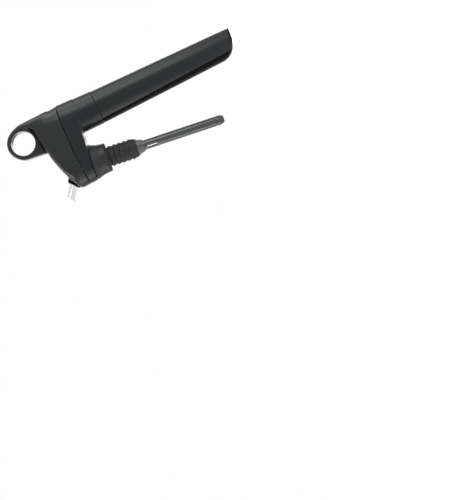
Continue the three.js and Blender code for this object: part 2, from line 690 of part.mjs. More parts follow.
// Screws
screwPlaces().forEach((at, i) => {
  const low = HEAD_FLOOR + SCREW_SINK;
  const screw = turnedSolid(
    [
      [0, low],
      [SCREW_HEAD_R, low],
      [SCREW_HEAD_R, low + SCREW_HEAD],
      [SCREW_SHAFT_R, low + SCREW_HEAD],
      [SCREW_SHAFT_R, SCREW_TOP - SCREW_SHAFT_R],
      [0, SCREW_TOP],
    ],
    COARSE,
    at,
  );
  const drive = bar(SCREW_HEAD_R / 2, low - OVERRUN, low + SCREW_HEAD / 2, 6, at);
  piece(`cover_screw_${i + 1}`, cut(screw, drive), steel);
});

// Thumb button, flush with the spine, and the spool it pushes
function thumbButton() {
  const top = buttonBar(0, -OVERRUN, BUTTON_DEPTH).intersect(headOuter);
  const bossEnd = BUTTON_DEPTH + BUTTON_BOSS;
  const boss = bar(BUTTON_BOSS_R, BUTTON_DEPTH - HALF_GAP, bossEnd, COARSE, buttonFrame);
  const socket = bar(STEM_R + RUN, BUTTON_DEPTH + HALF_GAP, bossEnd + OVERRUN, COARSE, buttonFrame);
  const dishR = BUTTON_LENGTH;
  const dish = solidOf(
    new THREE.SphereGeometry(dishR, MEDIUM, COARSE).translate(0, 0, BUTTON_CORNER_DISH - dishR),
    buttonFrame,
  );
  return cut(join(top, boss), socket, dish);
}
piece("gas_button", thumbButton(), softBlack);

const spoolStart = VALVE_START + VALVE_FRONT_WALL + HALF_GAP;
const spoolEnd = spoolStart + SPOOL_LENGTH;
const stemRings = [spoolStart + 1.4, spoolStart + SPOOL_LENGTH - 1.4];
function groovedSpool() {
  const groove = STEM_RING_SECTION + 0.1;
  const floor = SPOOL_R - 2 * groove;
  const profile = [[0, BUTTON_DEPTH + GAP], [STEM_R, BUTTON_DEPTH + GAP], [STEM_R, spoolStart], [SPOOL_R, spoolStart]];
  for (const at of stemRings) {
    profile.push([SPOOL_R, at - groove], [floor, at - groove], [floor, at + groove], [SPOOL_R, at + groove]);
  }
  profile.push([SPOOL_R, spoolEnd], [STEM_R, spoolEnd], [STEM_R, spoolEnd + 1], [0, spoolEnd + 1]);
  return turnedSolid(profile, COARSE);
}
piece("valve_spool", groovedSpool(), steel, buttonGroup);
stemRings.forEach((at, i) => {
  const r = SPOOL_R - 2 * STEM_RING_SECTION + STEM_RING_SECTION + RUN / 2;
  piece(`spool_ring_${i + 1}`, oRing(r, STEM_RING_SECTION, at), rubberBlack, buttonGroup);
});

// Spool valve body, behind the button's pocket, with its ports on the underside
const valveBoreEnd = VALVE_START + VALVE_LENGTH - VALVE_BACK_WALL;
function valveBody() {
  const outer = turnedSolid(
    [
      [0, VALVE_START],
      [VALVE_R, VALVE_START],
      [VALVE_R, VALVE_START + VALVE_LENGTH - 1],
      [VALVE_R - 1, VALVE_START + VALVE_LENGTH],
      [0, VALVE_START + VALVE_LENGTH],
    ],
    MEDIUM,
  );
  const port = (at) => {
    const down = new THREE.Matrix4().makeRotationY(-Math.PI / 2).setPosition(0, 0, at);
    return bar(PORT_R, 0, VALVE_R + OVERRUN, COARSE, down);
  };
  return cut(
    outer,
    bar(STEM_R + RUN, VALVE_START - OVERRUN, VALVE_START + VALVE_FRONT_WALL + OVERRUN, COARSE),
    bar(VALVE_BORE_R, VALVE_START + VALVE_FRONT_WALL, valveBoreEnd, COARSE),
    port(INLET_AT),
    port(OUTLET_AT),
  );
}
piece("valve_body", valveBody(), brass, buttonGroup);
piece(
  "valve_spring",
  spring(VALVE_SPRING_R, VALVE_WIRE_R, VALVE_TURNS, spoolEnd + HALF_GAP, valveBoreEnd - HALF_GAP),
  steel,
  buttonGroup,
);

// Gas hoses: regulator to valve, and valve to manifold
const inFrame = (frame, x, y, z) => new THREE.Vector3(x, y, z).applyMatrix4(frame);
const underValve = (at, drop) => inFrame(buttonFrame, -VALVE_R - drop, 0, at);
const nippleEnd = inFrame(handleFrame, 0, 0, NIPPLE_TOP + GAP);
const nippleLead = inFrame(handleFrame, 0, 0, NIPPLE_TOP + HOSE_R);
const feedRoute = [nippleEnd, nippleLead, underValve(INLET_AT, 2 * HOSE_R), underValve(INLET_AT, GAP)];
piece("feed_hose", hose(feedRoute, HOSE_R, HOSE_BORE_R), rubberBlack);
const outletStart = underValve(OUTLET_AT, GAP);
const outletLead = underValve(OUTLET_AT, HOSE_R);
const midHose = new THREE.Vector3((outletLead.x + GAS_PORT_END) / 2, 0, GAS_PORT_Z - HOSE_R);
const portLead = new THREE.Vector3(GAS_PORT_END + 2 * HOSE_R, 0, GAS_PORT_Z);
const portEnd = new THREE.Vector3(GAS_PORT_END + GAP, 0, GAS_PORT_Z);
const gasRoute = [outletStart, outletLead, midHose, portLead, portEnd];
piece("gas_hose", hose(gasRoute, HOSE_R, HOSE_BORE_R), rubberBlack);

// Regulator: threaded spigot below the neck, flange on the neck's lip, piston chamber above
function regulatorBody() {
  return turnedSolid(
    [
      [SPIGOT_MOUTH_R, -SPIGOT_LENGTH],
      [SPIGOT_R - 1, -SPIGOT_LENGTH],
      [SPIGOT_R, 1 - SPIGOT_LENGTH],
      [SPIGOT_R, LIP_TOP + HALF_GAP],
      [FLANGE_R, LIP_TOP + HALF_GAP],
      [FLANGE_R, FLANGE_TOP],
      [REGULATOR_R, FLANGE_TOP],
      [REGULATOR_R, REGULATOR_TOP],
      [CHAMBER_R, REGULATOR_TOP],
      [CHAMBER_R, CHAMBER_FLOOR],
      [PISTON_STEM_R + GAP, CHAMBER_FLOOR],
      [PISTON_STEM_R + GAP, PIN_POCKET_TOP],
      [PIN_POCKET_R, PIN_POCKET_TOP],
      [PIN_POCKET_R, PIN_SEAT],
      [SPIGOT_SEAT_R, PIN_SEAT],
      [SPIGOT_SEAT_R, -SPIGOT_SEAT_DEPTH],
    ],
    FINE,
  );
}
piece("regulator_body", regulatorBody(), aluminium, handleGroup);
piece(
  "regulator_cap",
  turnedSolid(
    [
      [GAS_BORE_R, REGULATOR_TOP - CAP_BOSS],
      [CHAMBER_R - RUN, REGULATOR_TOP - CAP_BOSS],
      [CHAMBER_R - RUN, REGULATOR_TOP + HALF_GAP],
      [REGULATOR_R, REGULATOR_TOP + HALF_GAP],
      [REGULATOR_R, CAP_TOP - 0.6],
      [REGULATOR_R - 0.6, CAP_TOP],
      [NIPPLE_R, CAP_TOP],
      [NIPPLE_R, NIPPLE_TOP],
      [GAS_BORE_R, NIPPLE_TOP],
    ],
    MEDIUM,
  ),
  aluminium,
  handleGroup,
);
piece(
  "piercing_pin",
  turnedSolid(
    [
      [PIN_BORE_R, NEEDLE_TIP],
      [NEEDLE_R, NEEDLE_TIP + 1.4],
      [NEEDLE_R, PIN_SEAT + GAP],
      [PIN_POCKET_R - RUN, PIN_SEAT + GAP],
      [PIN_POCKET_R - RUN, PIN_POCKET_TOP - GAP],
      [PIN_BORE_R, PIN_POCKET_TOP - GAP],
    ],
    COARSE,
  ),
  steel,
  handleGroup,
);
piece(
  "capsule_gasket",
  ring(PIERCED_R, CAPSULE_NECK_R, CAPSULE_TOP + HALF_GAP, PIN_SEAT - HALF_GAP, COARSE),
  sealGrey,
  handleGroup,
);

// Piston, drilled through, held up off the pin by the spring round its stem
const pistonTop = REGULATOR_TOP - CAP_BOSS - GAP;
const pistonFoot = pistonTop - PISTON_HEIGHT;
const pistonRingAt = pistonTop - PISTON_HEIGHT / 2;
const pistonStemFoot = PIN_POCKET_TOP - GAP + PISTON_STROKE + HALF_GAP;
function piston() {
  const groove = RING_SECTION + 0.1;
  const floor = PISTON_R - 2 * groove;
  return turnedSolid(
    [
      [GAS_BORE_R / 2, pistonStemFoot],
      [PISTON_STEM_R, pistonStemFoot],
      [PISTON_STEM_R, pistonFoot],
      [PISTON_R, pistonFoot],
      [PISTON_R, pistonRingAt - groove],
      [floor, pistonRingAt - groove],
      [floor, pistonRingAt + groove],
      [PISTON_R, pistonRingAt + groove],
      [PISTON_R, pistonTop],
      [GAS_BORE_R / 2, pistonTop],
    ],
    MEDIUM,
  );
}
piece("regulator_piston", piston(), brass, handleGroup);
piece("piston_ring", oRing(PISTON_R - RING_SECTION + RUN / 2, RING_SECTION, pistonRingAt), rubberBlack, handleGroup);
piece(
  "regulator_spring",
  spring(PISTON_SPRING_R, PISTON_WIRE_R, PISTON_TURNS, CHAMBER_FLOOR + HALF_GAP, pistonFoot - HALF_GAP),
  steel,
  handleGroup,
);

// Argon capsule, neck up and pierced. Its outline, or that of its hollow, from base to neck.
function capsuleOutline(inset, neckR, steps) {
  const neckFoot = CAPSULE_TOP - CAPSULE_NECK_LENGTH;
  const shoulderFoot = neckFoot - CAPSULE_SHOULDER;
  const base = CAPSULE_TOP - CAPSULE_LENGTH + inset;
  const wide = CAPSULE_R - inset;
  const profile = [[0, base]];
  for (let i = 1; i <= steps; i++) {
    const angle = (Math.PI / 2) * (i / steps);
    profile.push([wide * Math.sin(angle), base + CAPSULE_BASE * (1 - Math.cos(angle))]);
  }
  for (let i = 0; i <= steps; i++) {
    const share = i / steps;
    const eased = (1 - Math.cos(Math.PI * share)) / 2;
    profile.push([wide + (neckR - wide) * eased, shoulderFoot + CAPSULE_SHOULDER * share]);
  }
  profile.push([neckR, CAPSULE_TOP]);
  return profile;
}

const capsuleProfile = [
  ...capsuleOutline(0, CAPSULE_NECK_R, 5),
  ...capsuleOutline(CAPSULE_WALL, PIERCED_R, 3).reverse(),
];
piece("argon_capsule", turnedSolid(capsuleProfile, MEDIUM), steel, handleGroup);

// Capsule cup and the pad that presses the capsule up
const cupTop = -2 * GAP;
const cupFloorTop = CAPSULE_TOP - CAPSULE_LENGTH - CUP_PAD - 2 * HALF_GAP;
const cupBottom = cupFloorTop - CUP_FLOOR;
const cupOuterR = CUP_BORE_R + CUP_WALL;
const cupCollarR = CUP_THREAD_R + CUP_WALL;
const cupStep = cupTop - CUP_THREAD_LENGTH;
const cupOuterProfile = (grow) => [
  [0, cupBottom - grow],
  [cupOuterR + grow, cupBottom - grow],
  [cupOuterR + grow, cupStep - CUP_WALL],
  [cupCollarR + grow, cupStep],
  [cupCollarR + grow, cupTop + (grow ? OVERRUN : 0)],
];
piece(
  "capsule_cup",
  turnedSolid(
    [
      ...cupOuterProfile(0),
      [CUP_THREAD_R, cupTop],
      [CUP_THREAD_R, cupStep],
      [CUP_BORE_R, cupStep - CUP_WALL],
      [CUP_BORE_R, cupFloorTop],
      [0, cupFloorTop],
    ],
    FINE,
  ),
  aluminium,
  handleGroup,
);
function cupPad() {
  const rim = CAPSULE_BASE / 3;
  const hollowR = CAPSULE_R * 0.62;
  return turnedSolid(
    [
      [0, cupFloorTop + HALF_GAP],
      [CUP_BORE_R - RUN, cupFloorTop + HALF_GAP],
      [CUP_BORE_R - RUN, cupFloorTop + CUP_PAD + rim],
      [CAPSULE_R * 0.9, cupFloorTop + CUP_PAD + rim],
      [hollowR, cupFloorTop + CUP_PAD],
      [0, cupFloorTop + CUP_PAD],
    ],
    MEDIUM,
  );
}
piece("cup_pad", cupPad(), rubberBlack, handleGroup);

// Handle: a plastic shell, open along its inner side, and a glossy strip that closes it
function handleOutline() {
  const end = -HANDLE_LENGTH;
  const { back } = HANDLE_END;
  const front = -HANDLE_END.front;
  const shape = new THREE.Shape();
  shape.moveTo(FAR, OVERRUN);
  shape.lineTo(-FAR, OVERRUN);
  shape.lineTo(-FAR, end + HEEL_R * 1.2);
  shape.lineTo(front, end + HEEL_R);
  shape.absarc(front + HEEL_R, end + HEEL_R, HEEL_R, Math.PI, 1.5 * Math.PI, false);
  shape.lineTo(back - TOE_R, end - END_SLANT);
  shape.absarc(back - TOE_R, end + TOE_R - END_SLANT, TOE_R, -Math.PI / 2, 0, false);
  shape.lineTo(FAR, end + TOE_R - END_SLANT);
  return shape;
}

// Side view of all that lies on the strip's side of the line between shell and strip.
function stripOutline(shift) {
  const turnAt = -HANDLE_LENGTH * CREASE_TURN_SHARE;
  const top = CREASE_X + shift;
  const turn = CREASE_TURN_X + shift;
  const capAt = -HANDLE_LENGTH + STRIP_CAP + shift;
  const slope = (turn - top) / turnAt;
  const wide = HANDLE_END.back + OVERRUN;
  const shape = new THREE.Shape();
  shape.moveTo(-FAR, OVERRUN);
  shape.lineTo(-FAR, -HANDLE_LENGTH - OVERRUN);
  shape.lineTo(wide, -HANDLE_LENGTH - OVERRUN);
  shape.lineTo(wide, capAt - END_SLANT);
  shape.lineTo(0, capAt);
  shape.quadraticCurveTo(turn, capAt, turn, turnAt);
  shape.lineTo(top + slope * OVERRUN, OVERRUN);
  return shape;
}

const handleForm = (inset) =>
  loft([
    gripSection(-HALF_GAP, HANDLE_TOP, inset),
    gripSection(-HANDLE_LENGTH - OVERRUN, HANDLE_END, inset),
  ]).intersect(slab(handleOutline(), FAR));
const cupSpace = turnedSolid([...cupOuterProfile(GAP), [0, cupTop + OVERRUN]], FINE);
piece(
  "handle_shell",
  cut(handleForm(0), slab(stripOutline(HALF_GAP), FAR), cupSpace),
  softBlack,
  handleGroup,
);
piece(
  "handle_strip",
  cut(handleForm(STRIP_STEP).intersect(slab(stripOutline(-HALF_GAP), FAR)), cupSpace),
  stripBlack,
  handleGroup,
);

// Manifold: joins both tubes to the gas hose and to the spout
const tubeRingAt = MANIFOLD_FOOT + 3;
function manifold() {
  const along = new THREE.Matrix4().makeRotationY(Math.PI / 2).setPosition(0, 0, GAS_PORT_Z);
  const outer = join(
    bar(MANIFOLD_R, MANIFOLD_FOOT, MANIFOLD_TOP, MEDIUM),
    bar(BRANCH_R, 0, BRANCH_END, MEDIUM, spoutFrame),
    bar(GAS_PORT_R, 0, GAS_PORT_END, COARSE, along),
  );
  const groove = STEM_RING_SECTION + 0.1;
  return cut(
    outer,
    bar(TUBE_R + RUN, MANIFOLD_FOOT - OVERRUN, TUBE_TOP + GAP, MEDIUM),
    bar(TUBE_R + RUN + groove * 2, tubeRingAt - groove, tubeRingAt + groove, MEDIUM),
    bar(WINE_CHAMBER_R, TUBE_TOP, WINE_CHAMBER_TOP, MEDIUM),
    bar(WINE_CHAMBER_R, 0, NOZZLE_START + OVERRUN, MEDIUM, spoutFrame),
    bar(NOZZLE_R + RUN, NOZZLE_START - GAP, BRANCH_END + OVERRUN, MEDIUM, spoutFrame),
    bar(GAS_TUBE_R + RUN, WINE_CHAMBER_TOP - OVERRUN, GAS_PORT_Z, COARSE),
    bar(PORT_R, 0, GAS_PORT_END + OVERRUN, COARSE, along),
  );
}
piece("manifold", manifold(), whitePlastic);
piece("tube_ring", oRing(TUBE_R + RUN + STEM_RING_SECTION, STEM_RING_SECTION, tubeRingAt), rubberBlack);

// Wine tube with its three inlet slots, and the gas tube inside it
function wineTube() {
  const slots = [0, 1, 2].map((i) => {
    const turn = new THREE.Matrix4().makeRotationZ((2 * Math.PI * i) / 3);
    const half = WINE_SLOT_WIDTH / 2;
    return block(
      new THREE.Vector3(0, -half, WINE_SLOT_TOP - WINE_SLOT_LENGTH),
      new THREE.Vector3(TUBE_R + OVERRUN, half, WINE_SLOT_TOP),
      turn,
    );
  });
  return cut(ring(TUBE_BORE_R, TUBE_R, TUBE_END, TUBE_TOP, MEDIUM), ...slots);
}
piece("wine_tube", wineTube(), tubeGrey);
const gasTubeEnd = TUBE_END - 2;
piece("gas_tube", ring(GAS_TUBE_BORE_R, GAS_TUBE_R, gasTubeEnd, GAS_PORT_Z - GAS_PORT_R / 2, COARSE), whitePlastic);

const tipEnd = TUBE_END - TIP_LENGTH;
const tipValveTop = gasTubeEnd - GAP;
piece(
  "tube_tip",
  turnedSolid(
    [
      [GAS_TUBE_R + RUN, TUBE_END + TIP_SPIGOT],
      [TUBE_BORE_R - RUN, TUBE_END + TIP_SPIGOT],
      [TUBE_BORE_R - RUN, TUBE_END - HALF_GAP],
      [TUBE_R, TUBE_END - HALF_GAP],
      [TUBE_R, TUBE_END - TIP_LENGTH / 2],
      [TUBE_R - 0.6, TUBE_END - TIP_LENGTH * 0.75],
      [TIP_VALVE_R + 0.9, tipEnd],
      [TIP_VALVE_R + RUN, tipEnd],
      [TIP_VALVE_R + RUN, tipValveTop],
      [GAS_TUBE_R + RUN, tipValveTop],
    ],
    MEDIUM,
  ),
  tubeGrey,
);
piece(
  "tip_valve",
  turnedSolid(
    [
      [GAS_BORE_R, tipValveTop - HALF_GAP],
      [GAS_BORE_R / 2, tipValveTop - TIP_VALVE_HEIGHT],
      [GAS_BORE_R, tipValveTop - TIP_VALVE_HEIGHT],
      [TIP_VALVE_R * 0.7, tipValveTop - TIP_VALVE_HEIGHT / 3],
      [TIP_VALVE_R, tipValveTop - TIP_VALVE_HEIGHT / 3],
      [TIP_VALVE_R, tipValveTop - HALF_GAP],
    ],
    COARSE,
  ),
  sealGrey,
);

// Spout collar, clear nozzle and its ring. Both slanted faces lean the same way.
function beyondSlant(z, slant) {
  const face = new THREE.Matrix4().makeRotationY(slant).setPosition(0, 0, z);
  return block(new THREE.Vector3(-FAR, -FAR, 0), new THREE.Vector3(FAR, FAR, FAR), face);
}
piece(
  "spout_collar",
  cut(
    turnedSolid(
      [
        [NOZZLE_R + RUN, COLLAR_START],
        ...collarProfile(0),
        [NOZZLE_R + RUN, COLLAR_END + NOZZLE_R],
      ],
      MEDIUM,
    ),
    beyondSlant(COLLAR_END, COLLAR_CUT),
  ),
  stripBlack,
  spoutGroup,
);
function nozzle() {
  const groove = NOZZLE_RING_SECTION + HALF_GAP;
  const floor = NOZZLE_R - NOZZLE_GROOVE;
  const long = NOZZLE_END + NOZZLE_R;
  return cut(
    turnedSolid(
      [
        [NOZZLE_BORE_R, NOZZLE_START],
        [NOZZLE_R, NOZZLE_START],
        [NOZZLE_R, NOZZLE_RING_AT - groove],
        [floor, NOZZLE_RING_AT - groove],
        [floor, NOZZLE_RING_AT + groove],
        [NOZZLE_R, NOZZLE_RING_AT + groove],
        [NOZZLE_R, COLLAR_END],
        [NOZZLE_TIP_R, long],
        [NOZZLE_TIP_R - (NOZZLE_R - NOZZLE_BORE_R) / 2, long],
      ],
      MEDIUM,
    ),
    beyondSlant(NOZZLE_END, OUTLET_CUT),
  );
}
piece("spout_nozzle", nozzle(), clear, spoutGroup);
const nozzleRingR = NOZZLE_R + RUN - NOZZLE_RING_SECTION - HALF_GAP / 3;
piece("nozzle_ring", oRing(nozzleRingR, NOZZLE_RING_SECTION, NOZZLE_RING_AT), sealGrey, spoutGroup);

// Stopper: flared collar, lip gasket, core, ribbed plug, seals and slit valve
function stopperCollar() {
  const foot = GASKET_HEIGHT + HALF_GAP;
  const flare = [];
  const steps = 8;
  for (let i = 0; i <= steps; i++) {
    const share = i / steps;
    const z = foot + (STOPPER_TOP - 0.5 - foot) * share;
    flare.push([STOPPER_LIP_R + (STOPPER_TOP_R - STOPPER_LIP_R) * share ** 2.1, z]);
  }
  return turnedSolid(
    [
      [STOPPER_CAVITY_R, foot],
      ...flare,
      [STOPPER_TOP_R - 0.4, STOPPER_TOP],
      [CORE_BORE_R, STOPPER_TOP],
      [CORE_BORE_R, STOPPER_TOP - STOPPER_WEB],
      [STOPPER_CAVITY_R, STOPPER_TOP - STOPPER_WEB],
    ],
    FINE,
  );
}
piece("stopper_collar", stopperCollar(), stopperGrey);
piece("lip_gasket", ring(GASKET_BORE_R, GASKET_R, 0, GASKET_HEIGHT, FINE), rubberBlack);

const flangeTop = STOPPER_TOP - STOPPER_WEB - HALF_GAP;
function stopperCore() {
  const flangeFoot = flangeTop - CORE_FLANGE;
  const seat = (z) => [
    [CORE_BORE_R, z - SEAL_HEIGHT / 2 - HALF_GAP],
    [SEAL_R + HALF_GAP, z - SEAL_HEIGHT / 2 - HALF_GAP],
    [SEAL_R + HALF_GAP, z + SEAL_HEIGHT / 2 + HALF_GAP],
    [CORE_BORE_R, z + SEAL_HEIGHT / 2 + HALF_GAP],
  ];
  return turnedSolid(
    [
      [CORE_BORE_R, CORE_END],
      ...seat(LOWER_SEAL_Z),
      ...seat(UPPER_SEAL_Z),
      [CORE_BORE_R, flangeTop],
      [STOPPER_CAVITY_R - GAP, flangeTop],
      [STOPPER_CAVITY_R - GAP, flangeFoot],
      [CORE_R, flangeFoot],
      [CORE_R, CORE_END],
    ],
    MEDIUM,
  );
}
piece("stopper_core", stopperCore(), whitePlastic);

function stopperPlug() {
  const bore = CORE_R + HALF_GAP;
  const top = flangeTop - CORE_FLANGE - HALF_GAP;
  const profile = [
    [bore, top],
    [bore, PLUG_END],
    [PLUG_R - 1.2, PLUG_END],
    [PLUG_R, PLUG_END + 2],
  ];
  const first = PLUG_END + 3;
  const pitch = (-first - 1) / PLUG_RIBS;
  for (let i = 0; i < PLUG_RIBS; i++) {
    const z = first + pitch * i;
    profile.push([PLUG_R, z], [PLUG_RIB_R, z + pitch * 0.55], [PLUG_RIB_R, z + pitch * 0.7], [PLUG_R, z + pitch * 0.8]);
  }
  profile.push([PLUG_R, GASKET_HEIGHT + GAP], [STOPPER_CAVITY_R - GAP, GASKET_HEIGHT + GAP], [STOPPER_CAVITY_R - GAP, top]);
  return turnedSolid(profile, MEDIUM);
}
piece("stopper_plug", stopperPlug(), rubberBlack);

const sealAt = (z) =>
  turnedSolid(
    [
      [TUBE_R + HALF_GAP, z],
      [SEAL_R - RUN - 0.6, z - SEAL_HEIGHT / 2],
      [SEAL_R, z - SEAL_HEIGHT / 2],
      [SEAL_R, z + SEAL_HEIGHT / 2],
      [SEAL_R - RUN - 0.6, z + SEAL_HEIGHT / 2],
    ],
    MEDIUM,
  );
piece("upper_tube_seal", sealAt(UPPER_SEAL_Z), sealGrey);
piece("lower_tube_seal", sealAt(LOWER_SEAL_Z), sealGrey);

// Slit valve: four silicone petals, held open by the tube
function slitValve() {
  const top = PLUG_END - HALF_GAP;
  const foot = top - SLIT_FLANGE;
  const end = foot - SLIT_LENGTH;
  const petals = turnedSolid(
    [
      [TUBE_R + GAP, end],
      [TUBE_R + GAP + SLIT_WALL, end],
      [TUBE_R + 2 * GAP + 2 * SLIT_WALL, foot],
      [SLIT_FLANGE_R, foot],
      [SLIT_FLANGE_R, top],
      [TUBE_R + 2 * GAP, top],
    ],
    MEDIUM,
  );
  const slits = [0, 1].map((i) => {
    const turn = new THREE.Matrix4().makeRotationZ((Math.PI * i) / 2);
    const low = new THREE.Vector3(-FAR, -SLIT_WIDTH / 2, end - OVERRUN);
    return block(low, new THREE.Vector3(FAR, SLIT_WIDTH / 2, foot - SLIT_WALL), turn);
  });
  return cut(petals, ...slits);
}
piece("slit_valve", slitValve(), sealGrey);

export default dispenser;
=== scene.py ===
"""Looks of the hand-held gas dispenser: stopper, tube, head, spout and handle. Sizes are in
millimetres until a skin is put into its mesh. +Z runs up the stopper's axis, +X towards the
handle and -X towards the spout."""

import json
import math
from functools import reduce

import bpy
import numpy as np
from mathutils import Matrix


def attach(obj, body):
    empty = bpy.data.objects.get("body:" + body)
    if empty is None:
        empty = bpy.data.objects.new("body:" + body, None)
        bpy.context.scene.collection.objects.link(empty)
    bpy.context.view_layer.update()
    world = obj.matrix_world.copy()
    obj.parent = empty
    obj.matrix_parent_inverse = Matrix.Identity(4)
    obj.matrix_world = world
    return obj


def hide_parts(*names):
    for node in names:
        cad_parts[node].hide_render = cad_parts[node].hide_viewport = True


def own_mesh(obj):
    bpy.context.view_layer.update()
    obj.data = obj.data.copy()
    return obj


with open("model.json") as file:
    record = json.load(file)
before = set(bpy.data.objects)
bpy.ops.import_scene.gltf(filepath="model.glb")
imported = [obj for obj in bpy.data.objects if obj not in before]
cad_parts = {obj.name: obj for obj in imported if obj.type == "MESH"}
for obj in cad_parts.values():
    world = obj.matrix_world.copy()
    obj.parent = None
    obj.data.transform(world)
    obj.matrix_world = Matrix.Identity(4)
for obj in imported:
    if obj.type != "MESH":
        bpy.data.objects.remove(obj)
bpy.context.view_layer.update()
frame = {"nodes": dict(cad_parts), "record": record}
scene = bpy.context.scene
scene.view_settings.view_transform = "Standard"


# ---- Camera: level with the stopper and square to the side of the device. The picture is rolled
# until the handle lies across its top.
def stand(thing, right, up, back, at):
    """Puts a camera or a lamp at a place in metres, its own axes along right, up and back."""
    place = np.eye(4)
    place[:3, :4] = np.column_stack([right, up, back, at])
    thing.matrix_world = Matrix(place.tolist())
    scene.collection.objects.link(thing)


view_right = np.array([-0.3156, 0, -0.9489])
view_up = np.array([0.9489, 0, -0.3156])
view_back = np.cross(view_right, view_up)
camera = bpy.data.objects.new("camera", bpy.data.cameras.new("camera"))
stand(camera, view_right, view_up, view_back, at=[-0.1161, -1.3, -0.0778])
camera.data.lens = 101.74
camera.data.sensor_width = 36
camera.data.clip_start = 0.01
scene.camera = camera


# ---- Studio: a white sweep all round, a soft key lamp up and to the left of the camera, raking
# lamps along both long sides, two weaker ones behind, and a pale level floor under the device.
device_middle = np.array([0.02, 0, -0.02])


def soft_lamp(name, off_view, around_view, distance, side, power):
    """A square lamp that faces the middle of the device. off_view is its angle from the line to
    the camera and around_view its place round that line, from the picture's right by way of its
    top, both in degrees."""
    off, around = math.radians(off_view), math.radians(around_view)
    aside = math.cos(around) * view_right + math.sin(around) * view_up
    back = math.cos(off) * view_back + math.sin(off) * aside
    across = np.cross([0, 0, 1] if abs(back[2]) < 0.9 else [1, 0, 0], back)
    across /= np.linalg.norm(across)
    lamp = bpy.data.objects.new(name, bpy.data.lights.new(name, "AREA"))
    lamp.data.size = side
    lamp.data.energy = power
    lamp.visible_camera = False
    stand(lamp, across, np.cross(back, across), back, device_middle + back * distance)


near, near_side, far, far_side = 0.45, 0.25, 0.6, 0.35
soft_lamp("key_lamp", 45, 115, near, near_side, 1.0)
soft_lamp("upper_raking_lamp", 77, 117, near, near_side, 0.58)
soft_lamp("left_raking_lamp", 88, 135, near, near_side, 0.45)
soft_lamp("lower_fill_lamp", 60, 300, near, near_side, 0.34)
soft_lamp("lower_raking_lamp", 88, 288, near, near_side, 0.7)
soft_lamp("top_raking_lamp", 84, 222, near, near_side, 1.5)
soft_lamp("back_lamp", 160, 100, far, far_side, 0.9)
soft_lamp("back_fill_lamp", 150, 230, far, far_side, 0.5)


def node(tree, kind, links=(), **settings):
    """A node with settings; links is (input, source socket or value) pairs."""
    made = tree.nodes.new(kind)
    for key, value in settings.items():
        setattr(made, key, value)
    for label, source in links:
        if isinstance(source, bpy.types.NodeSocket):
            tree.links.new(source, made.inputs[label])
        else:
            made.inputs[label].default_value = source
    return made


def worked(tree, operation, a, b, **settings):
    """Result of a Math node on two sockets or values."""
    return node(tree, "ShaderNodeMath", [(0, a), (1, b)], operation=operation, **settings).outputs[0]


def ranged(tree, value, source, target):
    """A value whose range from source's first end to its second is stretched onto target's."""
    ends = zip(("From Min", "From Max", "To Min", "To Max"), (*source, *target))
    return node(tree, "ShaderNodeMapRange", [("Value", value), *ends]).outputs["Result"]


def camera_white(tree, dim, bright):
    """Value that is bright for rays from the camera or through clear plastic, six tenths of that in
    a mirror, and dim for the others."""
    rays = node(tree, "ShaderNodeLightPath").outputs
    mirrored = worked(tree, "MULTIPLY", rays["Is Glossy Ray"], 0.6)
    seen = worked(tree, "MAXIMUM", rays["Is Camera Ray"], mirrored)
    through = worked(tree, "MAXIMUM", seen, rays["Is Transmission Ray"])
    return ranged(tree, through, (0, 1), (dim, bright))


def one_shader(name, uniform):
    """A material, its node tree and its one shader, with the values that are the same all over."""
    material = bpy.data.materials.new(name)
    material.use_nodes = True
    shader = material.node_tree.nodes["Principled BSDF"]
    for label, value in uniform.items():
        shader.inputs[label].default_value = value
    return material, material.node_tree, shader


sky = bpy.data.worlds.new("white_sweep")
sky.use_nodes = True
scene.world = sky
sky_light = sky.node_tree.nodes["Background"]
sky_light.inputs["Color"].default_value = (1, 1, 1, 1)
sky.node_tree.links.new(camera_white(sky.node_tree, dim=0.06, bright=1.0), sky_light.inputs["Strength"])

floor_reach, floor_height = 9, -0.155
floor_corners = [
    (x * floor_reach, y * floor_reach, floor_height) for x, y in ((-1, -1), (1, -1), (1, 1), (-1, 1))
]
floor_mesh = bpy.data.meshes.new("floor")
floor_mesh.from_pydata(floor_corners, [], [(0, 1, 2, 3)])
floor = bpy.data.objects.new("floor", floor_mesh)
scene.collection.objects.link(floor)
pale_grey, white = (0.86, 0.86, 0.86, 1), (1, 1, 1, 1)
pale, pale_tree, pale_shader = one_shader(
    "pale_floor",
    {"Base Color": pale_grey, "Roughness": 0.9, "Specular IOR Level": 0, "Emission Color": white},
)
floor_at = node(pale_tree, "ShaderNodeTexCoord").outputs["Object"]
off_middle = node(pale_tree, "ShaderNodeVectorMath", [(0, floor_at)], operation="LENGTH").outputs["Value"]
glow = ranged(pale_tree, off_middle, (0.25, 1.2), (0.78, 1.0))
seen_glow = worked(pale_tree, "MULTIPLY", glow, camera_white(pale_tree, dim=0.0, bright=1.0))
pale_tree.links.new(seen_glow, pale_shader.inputs["Emission Strength"])
floor_mesh.materials.append(pale)


